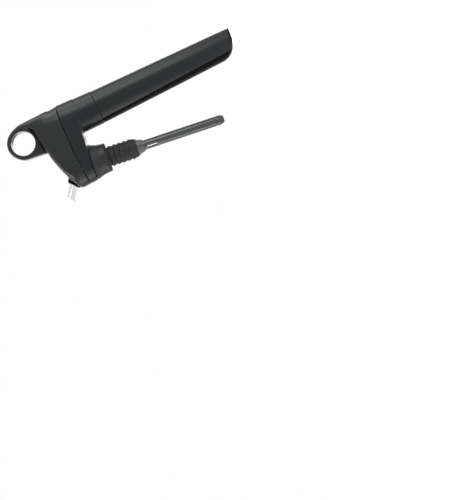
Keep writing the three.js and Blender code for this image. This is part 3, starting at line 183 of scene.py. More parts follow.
# ---- Stopper collar: the flared dark piece under the head, turned in one with the web that holds
# the core. Moulded in filled nylon with a satin skin.
def skin(name, points, quads, flat_angle=35):
    """Mesh of a skin from points (n, 3) in mm and four corner numbers a face. Corners on the same
    place are made one, faces that shrink to a line go, and the skin is turned to face outwards by
    the sign of its volume, a sixth of the sum of a . (b x c) over its triangles."""
    points = np.asarray(points, float)
    _, first, where = np.unique(np.round(points, 4), axis=0, return_index=True, return_inverse=True)
    points, quads = points[first], where.reshape(-1)[quads]
    a, b, c, d = (points[quads[:, i]] for i in range(4))
    if np.sum(a * np.cross(b, c)) + np.sum(a * np.cross(c, d)) < 0:
        quads = quads[:, ::-1]
    kept = quads != np.roll(quads, -1, axis=1)
    folded = (quads[:, 0] == quads[:, 2]) | (quads[:, 1] == quads[:, 3])
    whole = (kept.sum(axis=1) >= 3) & ~folded
    corners = quads[whole][kept[whole]]
    counts = kept[whole].sum(axis=1)
    mesh = bpy.data.meshes.new(name)
    mesh.vertices.add(len(points))
    mesh.vertices.foreach_set("co", (points / 1000).ravel())
    mesh.loops.add(len(corners))
    mesh.loops.foreach_set("vertex_index", corners)
    mesh.polygons.add(len(counts))
    mesh.polygons.foreach_set("loop_start", np.concatenate([[0], np.cumsum(counts)[:-1]]))
    mesh.update(calc_edges=True)
    mesh.validate()
    mesh.shade_smooth()
    mesh.set_sharp_from_angle(angle=math.radians(flat_angle))
    piece = bpy.data.objects.new(name, mesh)
    scene.collection.objects.link(piece)
    return piece


def woven(rows, columns, ring_rows=False):
    """Corner numbers of the quads of a grid of rows x columns points. Each row is a closed ring,
    and with ring_rows the last row joins the first."""
    i, j = np.meshgrid(np.arange(rows if ring_rows else rows - 1), np.arange(columns), indexing="ij")
    i2, j2 = (i + 1) % rows, (j + 1) % columns
    corners = [i * columns + j, i * columns + j2, i2 * columns + j2, i2 * columns + j]
    return np.stack(corners, -1).reshape(-1, 4)


def about(origin, turn):
    """Place of a slanted axis: turned about Y by turn, then moved to origin. Its columns are X, Y,
    Z and the origin."""
    c, s = math.cos(turn), math.sin(turn)
    return np.array([[c, 0, s, origin[0]], [0, 1, 0, origin[1]], [-s, 0, c, origin[2]]], float)


def grid_skin(name, grid, place, ring_rows=False, flat_angle=35):
    """Skin of a grid of points, moved from the piece's own axes to the device's."""
    points = grid.reshape(-1, 3) @ place[:, :3].T + place[:, 3]
    return skin(name, points, woven(*grid.shape[:2], ring_rows), flat_angle)


def round_angles(count):
    """Evenly spread angles of one full turn."""
    return np.linspace(0, 2 * np.pi, count, endpoint=False)


def rings(profile, angle):
    """Grid where each point (r, z) of a profile goes round its axis as (r cos a, r sin a, z)."""
    r, z = np.array(profile, float).T[..., None]
    return np.stack(np.broadcast_arrays(r * np.cos(angle), r * np.sin(angle), z), -1)


def turned(name, profile, around=96):
    """A turned piece round the upright axis, whose profile closes on itself."""
    return grid_skin(name, rings(profile, round_angles(around)), about((0, 0, 0), 0), ring_rows=True)


def bowed(start, pull, end, t):
    """Points at shares t of the parabola (1-t)^2 start + 2t(1-t) pull + t^2 end."""
    return (1 - t) ** 2 * start + 2 * t * (1 - t) * pull + t**2 * end


eased_points = 4


def eased(corners, cut):
    """A profile with its corners rounded: corner b between a and c becomes a parabola that b
    pulls, from p to q, which lie cut away from b towards a and c, or 0.45 of a shorter leg."""
    b = np.array(corners, float)
    a, c = np.roll(b, 1, 0), np.roll(b, -1, 0)
    legs = (a - b, c - b)
    lengths = [np.maximum(np.linalg.norm(leg, axis=1, keepdims=True), 1e-9) for leg in legs]
    p, q = (b + leg * np.minimum(cut / length, 0.45) for leg, length in zip(legs, lengths))
    t = np.linspace(0, 1, eased_points)[:, None, None]
    return bowed(p, b, q, t).transpose(1, 0, 2).reshape(-1, 2)


def noise(tree, at, scale, detail, roughness=0.5):
    """A noise value from nought to one at a place; scale is its waves in a metre."""
    fed = [("Vector", at), ("Scale", scale), ("Detail", detail), ("Roughness", roughness)]
    return node(tree, "ShaderNodeTexNoise", fed).outputs["Fac"]


def mixed(tree, share, first, second):
    """A colour that goes from first to second. The Mix node's colour sockets share names with its
    number sockets, so they are joined by place."""
    fed = [("Factor", share), (6, first), (7, second)]
    return node(tree, "ShaderNodeMix", fed, data_type="RGBA").outputs[2]


def surface_group(name, takes, effect):
    """A node group with named inputs (name: kind, value). From its tree, its inputs and the place
    on the piece, effect works out its outputs: Colour, Roughness and Height."""
    tree = bpy.data.node_groups.new(name, "ShaderNodeTree")
    for label, (kind, value) in takes.items():
        tree.interface.new_socket(label, in_out="INPUT", socket_type=kind).default_value = value
    for label, kind in (("Colour", "Color"), ("Roughness", "Float"), ("Height", "Float")):
        tree.interface.new_socket(label, in_out="OUTPUT", socket_type="NodeSocket" + kind)
    given = tree.nodes.new("NodeGroupInput").outputs
    put_out = tree.nodes.new("NodeGroupOutput").inputs
    at = node(tree, "ShaderNodeTexCoord").outputs["Object"]
    for place, result in enumerate(effect(tree, given, at)):
        tree.links.new(result, put_out[place])
    return tree


def grain_and_rubs(tree, given, at):
    """Moulded plastic or rubber: a fine spark-eroded grain as height, slow drifts of tone from
    handling, and sparse bright rubs where the skin has been polished by use."""
    grain = noise(tree, at, scale=given["Grain Size"], detail=2.0)
    waves = worked(tree, "SUBTRACT", noise(tree, at, scale=28.0, detail=3.0, roughness=0.55), 0.5)
    drift = worked(tree, "MULTIPLY", waves, 0.12)
    rubs = ranged(tree, noise(tree, at, scale=260.0, detail=4.0, roughness=0.7), (0.62, 0.8), (0.0, 0.5))
    tone = worked(tree, "ADD", drift, rubs, use_clamp=True)
    colour = mixed(tree, tone, given["Colour"], given["Rubbed Colour"])
    return colour, worked(tree, "ADD", drift, given["Roughness"]), grain


moulded_skin = surface_group(
    "moulded_skin",
    {
        "Colour": ("NodeSocketColor", (0.05, 0.05, 0.05, 1)),
        "Rubbed Colour": ("NodeSocketColor", (0.08, 0.08, 0.08, 1)),
        "Roughness": ("NodeSocketFloat", 0.6),
        "Grain Size": ("NodeSocketFloat", 3000.0),
    },
    grain_and_rubs,
)


def finished(name, effect, values, depth, uniform):
    """A material around one plain shader: an effect's colour and roughness, its height as a bump
    of depth mm, and the shader's values that are the same all over."""
    material, tree, shader = one_shader(name, uniform)
    surface = node(tree, "ShaderNodeGroup", values.items(), node_tree=effect).outputs
    height = [("Height", surface["Height"]), ("Strength", 1.0), ("Distance", depth / 1000)]
    bump = node(tree, "ShaderNodeBump", height)
    tree.links.new(surface["Colour"], shader.inputs["Base Color"])
    tree.links.new(surface["Roughness"], shader.inputs["Roughness"])
    tree.links.new(bump.outputs["Normal"], shader.inputs["Normal"])
    return material


def moulded(name, colour, rubbed, roughness, grain, depth, specular):
    """Material of a moulded piece. grain is its grain's waves in a metre, depth their depth in mm."""
    values = {
        "Colour": (*colour, 1),
        "Rubbed Colour": (*rubbed, 1),
        "Roughness": roughness,
        "Grain Size": grain,
    }
    return finished(name, moulded_skin, values, depth, {"Specular IOR Level": specular})


def dress(piece, material, body, solid):
    """Gives a new piece its material and the body it rides on, and hides the CAD node it stands for."""
    piece.data.materials.append(material)
    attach(piece, body)
    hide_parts(solid)


satin_grey = moulded(
    "satin_grey_nylon",
    (0.034, 0.038, 0.04),
    (0.06, 0.066, 0.068),
    roughness=0.36,
    grain=2600,
    depth=0.01,
    specular=0.16,
)
collar_foot, collar_top, foot_r, rim_r = 1.25, 14.55, 13.5, 16.6
web_foot, web_r, core_r = 12.2, 10.2, 5
flare = np.linspace(0, 1, 28)
collar_side = np.column_stack(
    [foot_r + (rim_r - foot_r) * flare**2.1, collar_foot + (collar_top - 0.5 - collar_foot) * flare]
)
collar_inside = [(web_r, web_foot), (web_r, collar_foot), (foot_r - 0.2, collar_foot - 0.01)]
collar_over = [(rim_r - 0.6, collar_top), (core_r, collar_top), (core_r, web_foot), (web_r, web_foot)]
collar_profile = np.vstack(
    [
        eased(collar_inside, 0.2)[eased_points:],
        collar_side[1:],
        [(rim_r - 0.02, 14.15), (rim_r - 0.14, 14.38), (rim_r - 0.34, 14.5), (rim_r - 0.6, collar_top)],
        eased(collar_over, 0.3)[eased_points:],
    ]
)
stopper_collar = turned("stopper_collar_skin", collar_profile, around=128)
dress(stopper_collar, satin_grey, "stopper", "stopper_collar")


# ---- Stopper plug and gasket: soft black rubber. The plug has five wiping ribs and is pushed onto
# the core. The flat gasket lies under the collar.
black_rubber = moulded(
    "black_rubber",
    (0.02, 0.02, 0.02),
    (0.045, 0.045, 0.045),
    roughness=0.72,
    grain=1800,
    depth=0.02,
    specular=0.35,
)
rib_count, rib_first, rib_pitch = 5, -25.0, 24 / 5
# A rib's outline: radius, and height as a share of the pitch.
rib_shape = np.array(
    [[8.7, 0.02], [9.05, 0.3], [9.5, 0.5], [9.68, 0.58], [9.7, 0.63], [9.64, 0.69], [9.2, 0.75], [8.75, 0.8]]
)
rib_feet = rib_first + rib_pitch * np.arange(rib_count)[:, None]
rib_heights = rib_feet + rib_shape[:, 1] * rib_pitch
ribs = np.stack([np.broadcast_to(rib_shape[:, 0], rib_heights.shape), rib_heights], -1).reshape(-1, 2)
plug_bore, plug_top, plug_r, shoulder_r = 7.05, 9.6, 8.7, 9.9
plug_profile = np.vstack(
    [
        [(plug_bore, plug_top), (plug_bore, -27.7), (7.2, -27.95), (7.5, -28), (7.8, -27.85)],
        [(8.4, -26.6), (8.62, -26.2), (plug_r, -25.8)],
        ribs,
        [(plug_r, -0.9), (plug_r, 1.4), (9.7, 1.4), (9.88, 1.5)],
        [(shoulder_r, 1.7), (shoulder_r, 9.4), (shoulder_r - 0.1, plug_top)],
    ]
)
dress(turned("stopper_plug_skin", plug_profile), black_rubber, "stopper", "stopper_plug")
gasket_profile = eased([(9, 0), (13.3, 0), (13.3, 1.1), (9, 1.1)], 0.3)
dress(turned("lip_gasket_skin", gasket_profile), black_rubber, "stopper", "lip_gasket")


# ---- Tube: a stiff grey plastic tube with three slots under the stopper, and its end plug with
# the small one-way valve, pushed in and bonded.
tube_grey = moulded(
    "tube_grey_plastic",
    (0.05, 0.055, 0.058),
    (0.09, 0.09, 0.092),
    roughness=0.32,
    grain=2200,
    depth=0.006,
    specular=0.5,
)


def slotted_tube(name, bore, outer, low, high, slot_low, slot_high, slot_width, slots):
    """A tube with long slots, laid out as a grid that goes round the wall's section and the axis.
    Each slot is a stretch of angles whose inner and outer skins are joined along its edges and
    left out between slot_low and slot_high."""
    half = math.asin(slot_width / 2 / outer)
    marks = 2 * np.pi / slots * np.arange(slots)
    edges = np.concatenate([marks - half, marks + half])
    between = (marks[:, None] + np.linspace(half, 2 * np.pi / slots - half, 22)[None, 1:-1]).ravel()
    inside = (marks[:, None] + np.linspace(-half, half, 7)[None, 1:-1]).ravel()
    angle = np.sort(np.concatenate([edges, between, inside]) % (2 * np.pi))
    off = np.abs((angle[:, None] - marks[None] + np.pi) % (2 * np.pi) - np.pi).min(axis=1)
    off_next = np.roll(off, -1)
    open_to_next = (off + off_next < 2 * half + 1e-6) & (np.maximum(off, off_next) < half + 1e-6)
    z = np.array([low, low + 0.2, slot_low, slot_high, high - 0.2, high])
    r_out = np.array([outer - 0.15, outer, outer, outer, outer, outer - 0.15])
    rows, columns = len(z), len(angle)
    walls = [rings(np.column_stack([np.broadcast_to(r, rows), z]), angle) for r in (r_out, bore)]
    to_inner = rows * columns
    cut = np.zeros((rows - 1, columns), bool)
    cut[2, open_to_next] = True
    sheet = woven(rows, columns)[~cut.ravel()]
    end = woven(2, columns)
    end = np.where(end < columns, end, end - columns + to_inner)

    def joined(a, b):
        """Quads from the outer wall's points a and b to the inner wall's."""
        return np.column_stack([a, b, b + to_inner, a + to_inner])

    foot, roof = 2 * columns, 3 * columns
    j = np.flatnonzero(open_to_next)
    j2 = (j + 1) % columns
    starts = np.flatnonzero(open_to_next & ~np.roll(open_to_next, 1))
    stops = (np.flatnonzero(open_to_next & ~np.roll(open_to_next, -1)) + 1) % columns
    quads = [
        sheet,
        sheet[:, ::-1] + to_inner,
        end[:, ::-1],
        end + (rows - 1) * columns,
        joined(foot + j, foot + j2),
        joined(roof + j2, roof + j),
        joined(roof + starts, foot + starts),
        joined(foot + stops, roof + stops),
    ]
    return skin(name, np.vstack(walls).reshape(-1, 3), np.vstack(quads))


wine_tube = slotted_tube(
    "wine_tube_skin",
    bore=3.3,
    outer=4.5,
    low=-104,
    high=25.7,
    slot_low=-47,
    slot_high=-37,
    slot_width=3,
    slots=3,
)
dress(wine_tube, tube_grey, "head", "wine_tube")
tip_bore, tip_in, tip_out = 1.7, 3.1, 4.5
tip_up = [(tip_bore, -98), (tip_in, -98), (tip_in, -104.15), (tip_out, -104.15), (tip_out, -108), (3.9, -110)]
tip_back = [(3, -112), (2.3, -112), (2.3, -106.3), (tip_bore, -106.3)]
tip_profile = eased(tip_up + tip_back, 0.35)
dress(turned("tube_tip_skin", tip_profile), tube_grey, "head", "tube_tip")


# ---- Head body: lower housing, floor over the stopper and the neck that the handle screws up
# to. Injection moulded and coated with soft-touch charcoal paint.
lean, rise = math.radians(7.7), math.radians(29.7)
handle_axis = about((47.1, 0, -5.2), -lean)
spout_axis = about((0, 0, 29.65), rise - math.pi / 2)
loop_middle, loop_r = np.array([35.6, 69.8]), 15.05
# From its knee the spine runs straight up, past the loop's ring and spine_proud outside it.
knee, spine_proud = np.array([59.4, 31.0]), 0.8
to_loop = loop_middle - knee
spine_lean = math.atan2(-to_loop[0], to_loop[1]) - math.asin((loop_r + spine_proud) / np.hypot(*to_loop))


def spine_x(z):
    """X of the spine at height z: the knee's, less the height over it times the lean's tangent."""
    return knee[0] - (z - knee[1]) * math.tan(spine_lean)


button_height = 46
button_axis = about((spine_x(button_height), 0, button_height), -math.pi / 2 - spine_lean)


def within(place, x, y, z):
    """Device coordinates as a piece's own."""
    offset = [a - b for a, b in zip((x, y, z), place[:, 3])]
    return [sum(offset[i] * place[i, j] for i in range(3)) for j in range(3)]


def common(*forms):
    """What all the forms share: the largest of their depths, which are negative inside."""
    return reduce(np.maximum, forms)


def either(*forms):
    """The forms joined: the smallest of their depths."""
    return reduce(np.minimum, forms)


def rounded_and(a, b, r):
    """Where two forms overlap, with the edge between them rounded: inside the corner the depth is
    the hypotenuse of the two depths less r."""
    return np.minimum(np.maximum(a, b), -r) + np.hypot(np.maximum(a + r, 0), np.maximum(b + r, 0))


def filleted_or(a, b, r):
    """Two forms joined, with a fillet of radius r in the corner between them."""
    return -rounded_and(-a, -b, r)


def outline_depth(corners, x, z):
    """Distance of (x, z) to a closed outline, negative inside: the nearest of its straight runs,
    with the sign from how many of them a level ray crosses."""
    nearest, crossings = np.inf, False
    for (ax, az), (bx, bz) in zip(corners, np.roll(corners, -1, axis=0)):
        ex, ez, px, pz = bx - ax, bz - az, x - ax, z - az
        t = np.clip((px * ex + pz * ez) / max(ex * ex + ez * ez, 1e-9), 0, 1)
        nearest = np.minimum(nearest, (px - t * ex) ** 2 + (pz - t * ez) ** 2)
        if ez:
            crossings = crossings ^ (((az > z) != (bz > z)) & (px < ex * pz / ez))
    return np.sqrt(nearest) * np.where(crossings, -1, 1)


# Plan of the head, from the floor up: height, front, half width there, back, half width there.
plan = np.array(
    [
        [5, -15.4, 14.6, 61.8, 14.0],
        [15, -16.6, 15.5, 60.7, 14.6],
        [22.9, -18.2, 16.2, 60.05, 15.1],
        [31, -19.4, 16.7, 59.4, 15.4],
        [32.9, -19.4, 16.7, spine_x(32.9), 15.4],
        [35.03, -18.6, 16.7, spine_x(36.1), 15.4],
        [36.9, -16.2, 16.7, spine_x(38.4), 15.4],
        [46, -16.2, 16.7, spine_x(46), 14.3],
        [54.75, -16.2, 16.7, spine_x(54.75), 11.7],
        [64.78, -16.2, 16.7, spine_x(64.78), 9.15],
        [71.3, -16.2, 16.7, spine_x(71.3), 7.5],
        [77, -16.2, 16.7, spine_x(77) - 2.5, 6.6],
        [95, -16.2, 16.7, spine_x(95) - 20, 6],
    ]
)
# Its rows run into each other: every 0.25 of height it is a mean with a bell curve's weights.
plan_heights = np.arange(5, 95, 0.25)
bell_reach = 12
bell = np.exp(-((np.arange(-bell_reach, bell_reach + 1) / 5.0) ** 2))
plan_even = [np.interp(plan_heights, plan[:, 0], row) for row in plan[:, 1:].T]
plan_fine = [
    np.convolve(np.pad(row, bell_reach, "edge"), bell / bell.sum(), "valid") for row in plan_even
]


def plan_depth(x, y, z):
    """Distance to the head's plan at height z: two circles and their common tangents."""
    front, front_half, back, back_half = (np.interp(z, plan_heights, row) for row in plan_fine)
    far_middle = back - back_half - front - front_half
    s = (front_half - back_half) / far_middle
    c = np.sqrt(1 - s * s)
    u, v = x - front - front_half, np.abs(y)
    along = c * u - s * v
    side = c * v + s * u - front_half
    fore = np.hypot(u, v) - front_half
    aft = np.hypot(u - far_middle, v) - back_half
    return np.where(along < 0, fore, np.where(along > c * far_middle, aft, side))


# Side outline: the brow's slant, the arc up to the arm, the recess beside the loop, and far behind.
brow, pull, arm_foot = np.array([-4.6, 41.4]), np.array([9.9, 49.0]), np.array([22.7, 51.7])
brow_slant, before, behind, above = 0.44, -40, 110, 74
recess = [(41.4, 56.3), (43.4, 57.0), (45.2, 58.0), (46.8, 59.3), (48.4, 61.2), (50.5, 64.5), (56, 74)]
side_outline = np.vstack(
    [
        [(before, 0), (before, brow[1] - brow_slant * (brow[0] - before))],
        bowed(brow, pull, arm_foot, np.linspace(0, 1, 24)[:, None]),
        recess,
        [(behind, above), (behind, 0)],
    ]
)
recess_edge, brow_more = 0.7, 3.9


def head_wide(x, y, z):
    """The head's wide part: its plan and its side outline, rounded where top and sides meet, more
    over the brow than along the recess."""
    off_recess = np.hypot(x - loop_middle[0], z - loop_middle[1]) - loop_r
    edge = recess_edge + brow_more * np.clip((off_recess - 1.5) / 12, 0, 1)
    return rounded_and(plan_depth(x, y, z), outline_depth(side_outline, x, z), edge)


squareness = 2.25


def squared_round(x, y, back, front, side):
    """Distance to a squared round |x/a|^n + |y/b|^n = 1, where n is the squareness, by its value
    over its slope."""
    n = squareness
    a = np.where(x > 0, back, front)
    u, v = np.abs(x) / a, np.abs(y) / side
    value = np.maximum((u**n + v**n) ** (1 / n), 1e-3)
    slope = value ** (1 - n) * np.hypot(u ** (n - 1) / a, v ** (n - 1) / side)
    return (value - 1) / np.maximum(slope, 0.02)


crease_start, half_gap, joint_edge = -13.6, 0.15, 0.4


def neck_depth(x, y, z):
    """The neck, and the place in the handle's axes. It is a squared round that grows from the
    handle's section into the head's, stepped in under the long crease, with a groove along it. A
    round spigot under it closes the joint."""
    u, v, w = within(handle_axis, x, y, z)
    grown = np.clip((w - 0.15) / 40.85, 0, 1)
    back, front = 15.5 + 1.5 * grown, 16.1
    crease = crease_start - 0.7 * w / 20.38
    whole = squared_round(u, v, back, front, 15.3)
    under = squared_round(u, v, back, front, 14.8)
    stepped = np.minimum(under, rounded_and(whole, crease - u + half_gap, 0.4))
    groove = np.maximum(np.abs(u - crease + 0.3) - 0.4, -0.9 - under)
    neck = rounded_and(np.maximum(stepped, -groove), 0.1 - w, joint_edge)
    spigot = common(np.hypot(u, v) - 14.2, -0.6 - w, w - 2)
    return np.minimum(neck, spigot), u, v, w


def part_line(x):
    """Height of the parting line between body and cover: a chord with a low bow over it."""
    share = (x + 16.6) / 76.0
    return 22.9 + 8 * share + 1.8 * (1 - (2 * share - 1) ** 2)


screw_x, screw_y, screw_hole = 22.5, 9, 1.15


def screw_bar(x, y, r):
    """Distance to an upright bar on each screw's axis: the distance to the axis less r."""
    return np.hypot(x - screw_x, np.abs(y) - screw_y) - r


wall, part_gap, part_edge = 2.3, 0.22, 0.55


def body_depth(x, y, z):
    """The body: the wide part and the neck filleted together, under the parting line, less the
    hollow, the regulator's bore, the tube's way and the screws' seats."""
    wide = head_wide(x, y, z)
    neck, u, v, w = neck_depth(x, y, z)
    floor_side = rounded_and(wide, 15 - z, 0.8)
    outer = filleted_or(floor_side, np.maximum(neck, w - 41), 1.6)
    shell = rounded_and(outer, z - part_line(x) + part_gap, part_edge)
    bore = common(np.hypot(u, v) - 13.2, 2 - w, w - 29)
    hollow = either(common(wide + wall, 17.3 - z), bore)
    boss = common(screw_bar(x, y, 4.1), 15.2 - z, z - 20)
    solid = filleted_or(common(shell, -hollow), boss, 0.5)
    lip = common(np.hypot(u, v) - 12.5, np.abs(w) - 4)
    seat = common(screw_bar(x, y, 2.6), z - 17.45)
    ways = either(np.hypot(x, y) - 4.8, screw_bar(x, y, screw_hole), seat, lip)
    return rounded_and(solid, -ways, 0.3)


def net(name, depth, low, high, cell):
    """The skin where depth is nought. Each grid cell that it crosses holds one corner, the middle
    of the crossings on the cell's edges, slid along depth's slope onto the skin. Every grid edge
    that it crosses gives the quad of the four cells round it."""
    axes = [np.arange(a, b + cell, cell) for a, b in zip(low, high)]
    value = depth(*np.ix_(*axes))
    value = np.broadcast_to(value, [len(a) for a in axes]).astype(np.float32)
    inside = value < 0
    counts = np.zeros([n - 1 for n in value.shape], np.int8)
    corner_steps = [(i, j, k) for i in (0, 1) for j in (0, 1) for k in (0, 1)]
    for i, j, k in corner_steps:
        counts += inside[i : i + counts.shape[0], j : j + counts.shape[1], k : k + counts.shape[2]]
    cells = np.argwhere((counts > 0) & (counts < 8))
    at_corner = {s: value[tuple((cells + s).T)] for s in corner_steps}
    total, crossed = np.zeros((len(cells), 3)), np.zeros(len(cells))
    for s in corner_steps:
        for axis in range(3):
            if s[axis]:
                continue
            e = tuple(1 if n == axis else s[n] for n in range(3))
            a, b = at_corner[s], at_corner[e]
            cut = (a < 0) != (b < 0)
            t = np.where(cut, a / np.where(cut, a - b, 1), 0)
            point = np.tile(np.array(s, float), (len(cells), 1))
            point[:, axis] = t
            total += point * cut[:, None]
            crossed += cut
    points = np.array(low) + (cells + total / crossed[:, None]) * cell
    number = np.full(counts.shape, -1, np.int64)
    number[tuple(cells.T)] = np.arange(len(cells))
    quads = []
    for axis in range(3):
        around = [(axis + 1) % 3, (axis + 2) % 3]
        lower = np.moveaxis(inside, axis, 0)
        change = np.argwhere(lower[:-1] != lower[1:])
        edge = np.empty_like(change)
        edge[:, [axis] + [n for n in range(3) if n != axis]] = change
        last = np.array(inside.shape)[around] - 1
        edge = edge[((edge[:, around] > 0) & (edge[:, around] < last)).all(axis=1)]
        ring = []
        for step in ((1, 1), (0, 1), (0, 0), (1, 0)):
            shifted = edge.copy()
            shifted[:, around] -= step
            ring.append(number[tuple(shifted.T)])
        quad = np.stack(ring, -1)
        flip = inside[tuple(edge.T)]
        quads.append(np.where(flip[:, None], quad, quad[:, ::-1]))

    def slope(p, h):
        """Slope of depth at p, from its values h before and behind along each axis."""
        return np.stack([(depth(*(p + h * e).T) - depth(*(p - h * e).T)) / (2 * h) for e in np.eye(3)], -1)

    for _ in range(3):
        steep = slope(points, 0.06)
        size = np.maximum(np.sum(steep * steep, axis=1), 0.05)
        step = np.clip(depth(*points.T) / size, -0.5 * cell, 0.5 * cell)
        points = points - steep * step[:, None]
    return skin(name, points, np.vstack(quads), flat_angle=60)


head_cell = 0.5
soft_touch = {"roughness": 0.3, "grain": 3200, "depth": 0.012, "specular": 0.2}
# Two copies of one soft-touch coat. The cool copy's bluer tint is the coat's own. It is also darker than the
# warm copy as painted shade, standing in for the shade on the body's flank and along the handle.
soft_charcoal_cool_shaded = moulded(
    "soft_charcoal_cool_shaded", (0.0175, 0.0205, 0.0215), (0.038, 0.042, 0.044), **soft_touch
)
soft_charcoal_warm = moulded(
    "soft_charcoal_warm", (0.028, 0.0293, 0.03), (0.052, 0.054, 0.0555), **soft_touch
)
head_body = net("head_body_skin", body_depth, (-19, -17.5, -8), (67, 17.5, 34), head_cell)
dress(head_body, soft_charcoal_cool_shaded, "head", "head_body")


# ---- Head cover: upper housing with the finger loop, one moulding, with recesses on both sides
# of the loop. Its sides are plain.
def convex_depth(corners, x, z):
    """Depth in a convex outline: the largest distance past any of its sides."""
    depth = -np.inf
    for (ax, az), (bx, bz) in zip(corners, np.roll(corners, -1, axis=0)):
        length = math.hypot(bx - ax, bz - az)
        depth = np.maximum(depth, ((x - ax) * (bz - az) - (z - az) * (bx - ax)) / length)
    return depth


# The arm's outline: its foot, the spine, and a bend of 30 degrees from the spine onto the ring.
bend, proud = math.radians(30), loop_r + spine_proud - 0.1
bend_pull = np.array([proud, (loop_r - proud * math.cos(bend)) / math.sin(bend)])
bend_end = loop_r * np.array([math.cos(bend), math.sin(bend)])
bent = bowed(np.array([proud, 0]), bend_pull, bend_end, np.linspace(0, 1, 9)[:, None])
spine_out = np.array([math.cos(spine_lean), math.sin(spine_lean)])
spine_up = np.array([-math.sin(spine_lean), math.cos(spine_lean)])
rim = loop_middle + bent[:, :1] * spine_out + bent[:, 1:] * spine_up
arm_low = 43.7
arm_start = [(20.7, arm_low), (spine_x(arm_low) - 2.5, arm_low)]
arm = np.vstack([arm_start, rim, [(loop_middle[0] - loop_r, loop_middle[1] + 1.4)]])
loop_half, loop_edge, loop_hole = 7.5, 2.6, 11.2


def loop_depth(x, y, z):
    """The finger loop, and the distance to its middle: a ring and its arm in side view, rounded
    all round."""
    ring = np.hypot(x - loop_middle[0], z - loop_middle[1])
    flat = np.minimum(ring - loop_r, convex_depth(arm, x, z))
    return rounded_and(flat, np.abs(y) - loop_half, loop_edge), ring


slot_half, slot_reach = 5.5, 4.5


def button_slot(x, y, z):
    """Distance to the button's slot outline, which lies slot_half round a line that reaches
    slot_reach both ways, distance to the button's axis, and how far in from the spine."""
    u, v, w = within(button_axis, x, y, z)
    return np.hypot(np.maximum(np.abs(u) - slot_reach, 0), v) - slot_half, np.hypot(u, v), w


collar_flange = 13.5


def collar_foot_at(u):
    """Height along the spout's axis of the collar's foot: 1 below the slanted brow, or its flange."""
    return np.minimum(14.7 - 0.741 * u, collar_flange)


def cover_depth(x, y, z):
    """The cover: the wide part and the loop over the parting line, less the hollow, the loop's hole,
    the button's pocket and the spout's way, with posts and a pocket wall kept inside."""
    wide = head_wide(x, y, z)
    loop, ring = loop_depth(x, y, z)
    outer = filleted_or(wide, loop, 0.4 + 6 * np.clip((x - 43.5) / 7, 0, 1))
    shell = rounded_and(outer, part_line(x) + part_gap - z, part_edge)
    button, stem, inward = button_slot(x, y, z)
    pocket_wall = common(button - wall, inward - 7.55, wide + 0.5)
    post = common(screw_bar(x, y, 2.7), 20.15 - z, wide + 0.5)
    solid = either(common(shell, -(wide + wall)), pocket_wall, post)
    solid = rounded_and(solid, loop_hole - ring, 0.6)
    beside = outline_depth(side_outline, x, z)
    shallow = 5.0 + 5 * np.clip((z - 58.5) / 3, 0, 1)
    recess_groove = common(beside - 1.5, -0.3 - beside, shallow - np.abs(y))
    solid = rounded_and(solid, -recess_groove, 0.3)
    pocket = common(button - 0.3, inward - 5.55)
    stem_way = common(stem - 2.9, inward - 12)
    pilot = common(screw_bar(x, y, screw_hole), z - 31)
    u, v, w = within(spout_axis, x, y, z)
    off_axis = np.hypot(u, v)
    socket_r = np.interp(w, [6.4, 13.2, 13.2001, 15.6, 40], [6.6, 6.6, 7.9, 6.15, 6.15])
    socket = common(off_axis - socket_r, 6.4 - w)
    seat = common(off_axis - 6.95, collar_foot_at(u) - 0.1 - w, w - 13.4)
    return rounded_and(solid, -either(pocket, stem_way, pilot, socket, seat), 0.35)


head_cover = net("head_cover_skin", cover_depth, (-21, -17.5, 19.5), (61, 17.5, 87), head_cell)
dress(head_cover, soft_charcoal_warm, "head", "head_cover")


# ---- Gas button: a thumb pad in the spine, dished, with a short hollow boss behind it. Moulded,
# and painted soft to the touch in the cover's own colour.
dish_deep, dish_r = 0.7, 20


def button_depth(x, y, z):
    """The button: the slot outline cut from the head's own form, dished by a ball of radius
    dish_r, with its boss behind."""
    outline, stem, inward = button_slot(x, y, z)
    pad = rounded_and(rounded_and(outline, head_wide(x, y, z), 0.6), inward - 2.9, 0.3)
    u, v, w = within(button_axis, x, y, z)
    dish = np.sqrt(u * u + v * v + (w - dish_deep + dish_r) ** 2) - dish_r
    boss = common(stem - 2.6, 2.5 - inward, inward - 5.2)
    return common(either(rounded_and(pad, -dish, 0.8), boss), -common(stem - 1.7, 3.05 - inward))


gas_button = net("gas_button_skin", button_depth, (48, -7, 34), (61, 7, 58), cell=0.4)
dress(gas_button, soft_charcoal_warm, "button", "gas_button")


# ---- Handle shell: long tapered plastic grip over the capsule's cup, moulded open along its
# inner side and coated like the body.
handle_long, cap_at, heel_r, end_front = 137.6, 136.0, 15.0, 13.6
turn_height, turn_x = -0.93 * handle_long, -8.9
# About how far the skin is from the axis, to make a length of an angle round it.
mean_r = 14


def taper(height, top, end):
    """A half measure of the handle's section that shrinks evenly from the joint to the end."""
    return top + (end - top) * (-height / (handle_long + 2))


def crease_at(height):
    """Where the line between shell and strip lies: straight, then round the heel to the cap."""
    straight = crease_start + (turn_x - crease_start) * height / turn_height
    t = 1 - np.sqrt(np.clip((height + cap_at) / (cap_at + turn_height), 0, 1))
    return np.where(height > turn_height, straight, turn_x * (1 - t * t))


def front_at(height):
    """How far the section reaches to the strip's side: its taper, and a quarter round at the heel."""
    drop = np.clip(-(height + handle_long - heel_r) / heel_r, 0, 1)
    reach = heel_r * np.sqrt(1 - drop**2) + end_front - heel_r
    return taper(height, 15.95, end_front) * np.clip(reach / end_front, 0.02, 1)


def squared(angle, along, across):
    """Point of the squared round at an angle: cos and sin raised to 2/n, signs kept."""
    c, s = np.cos(angle), np.sin(angle)
    power = 2 / squareness
    return along * np.sign(c) * np.abs(c) ** power, across * np.sign(s) * np.abs(s) ** power


def crease_turn(crease, front):
    """Angle at which the squared round comes to the crease: cos is the share raised to n/2."""
    return (np.pi - np.arccos(np.clip(-crease / front, 0, 1) ** (squareness / 2)))[:, None]


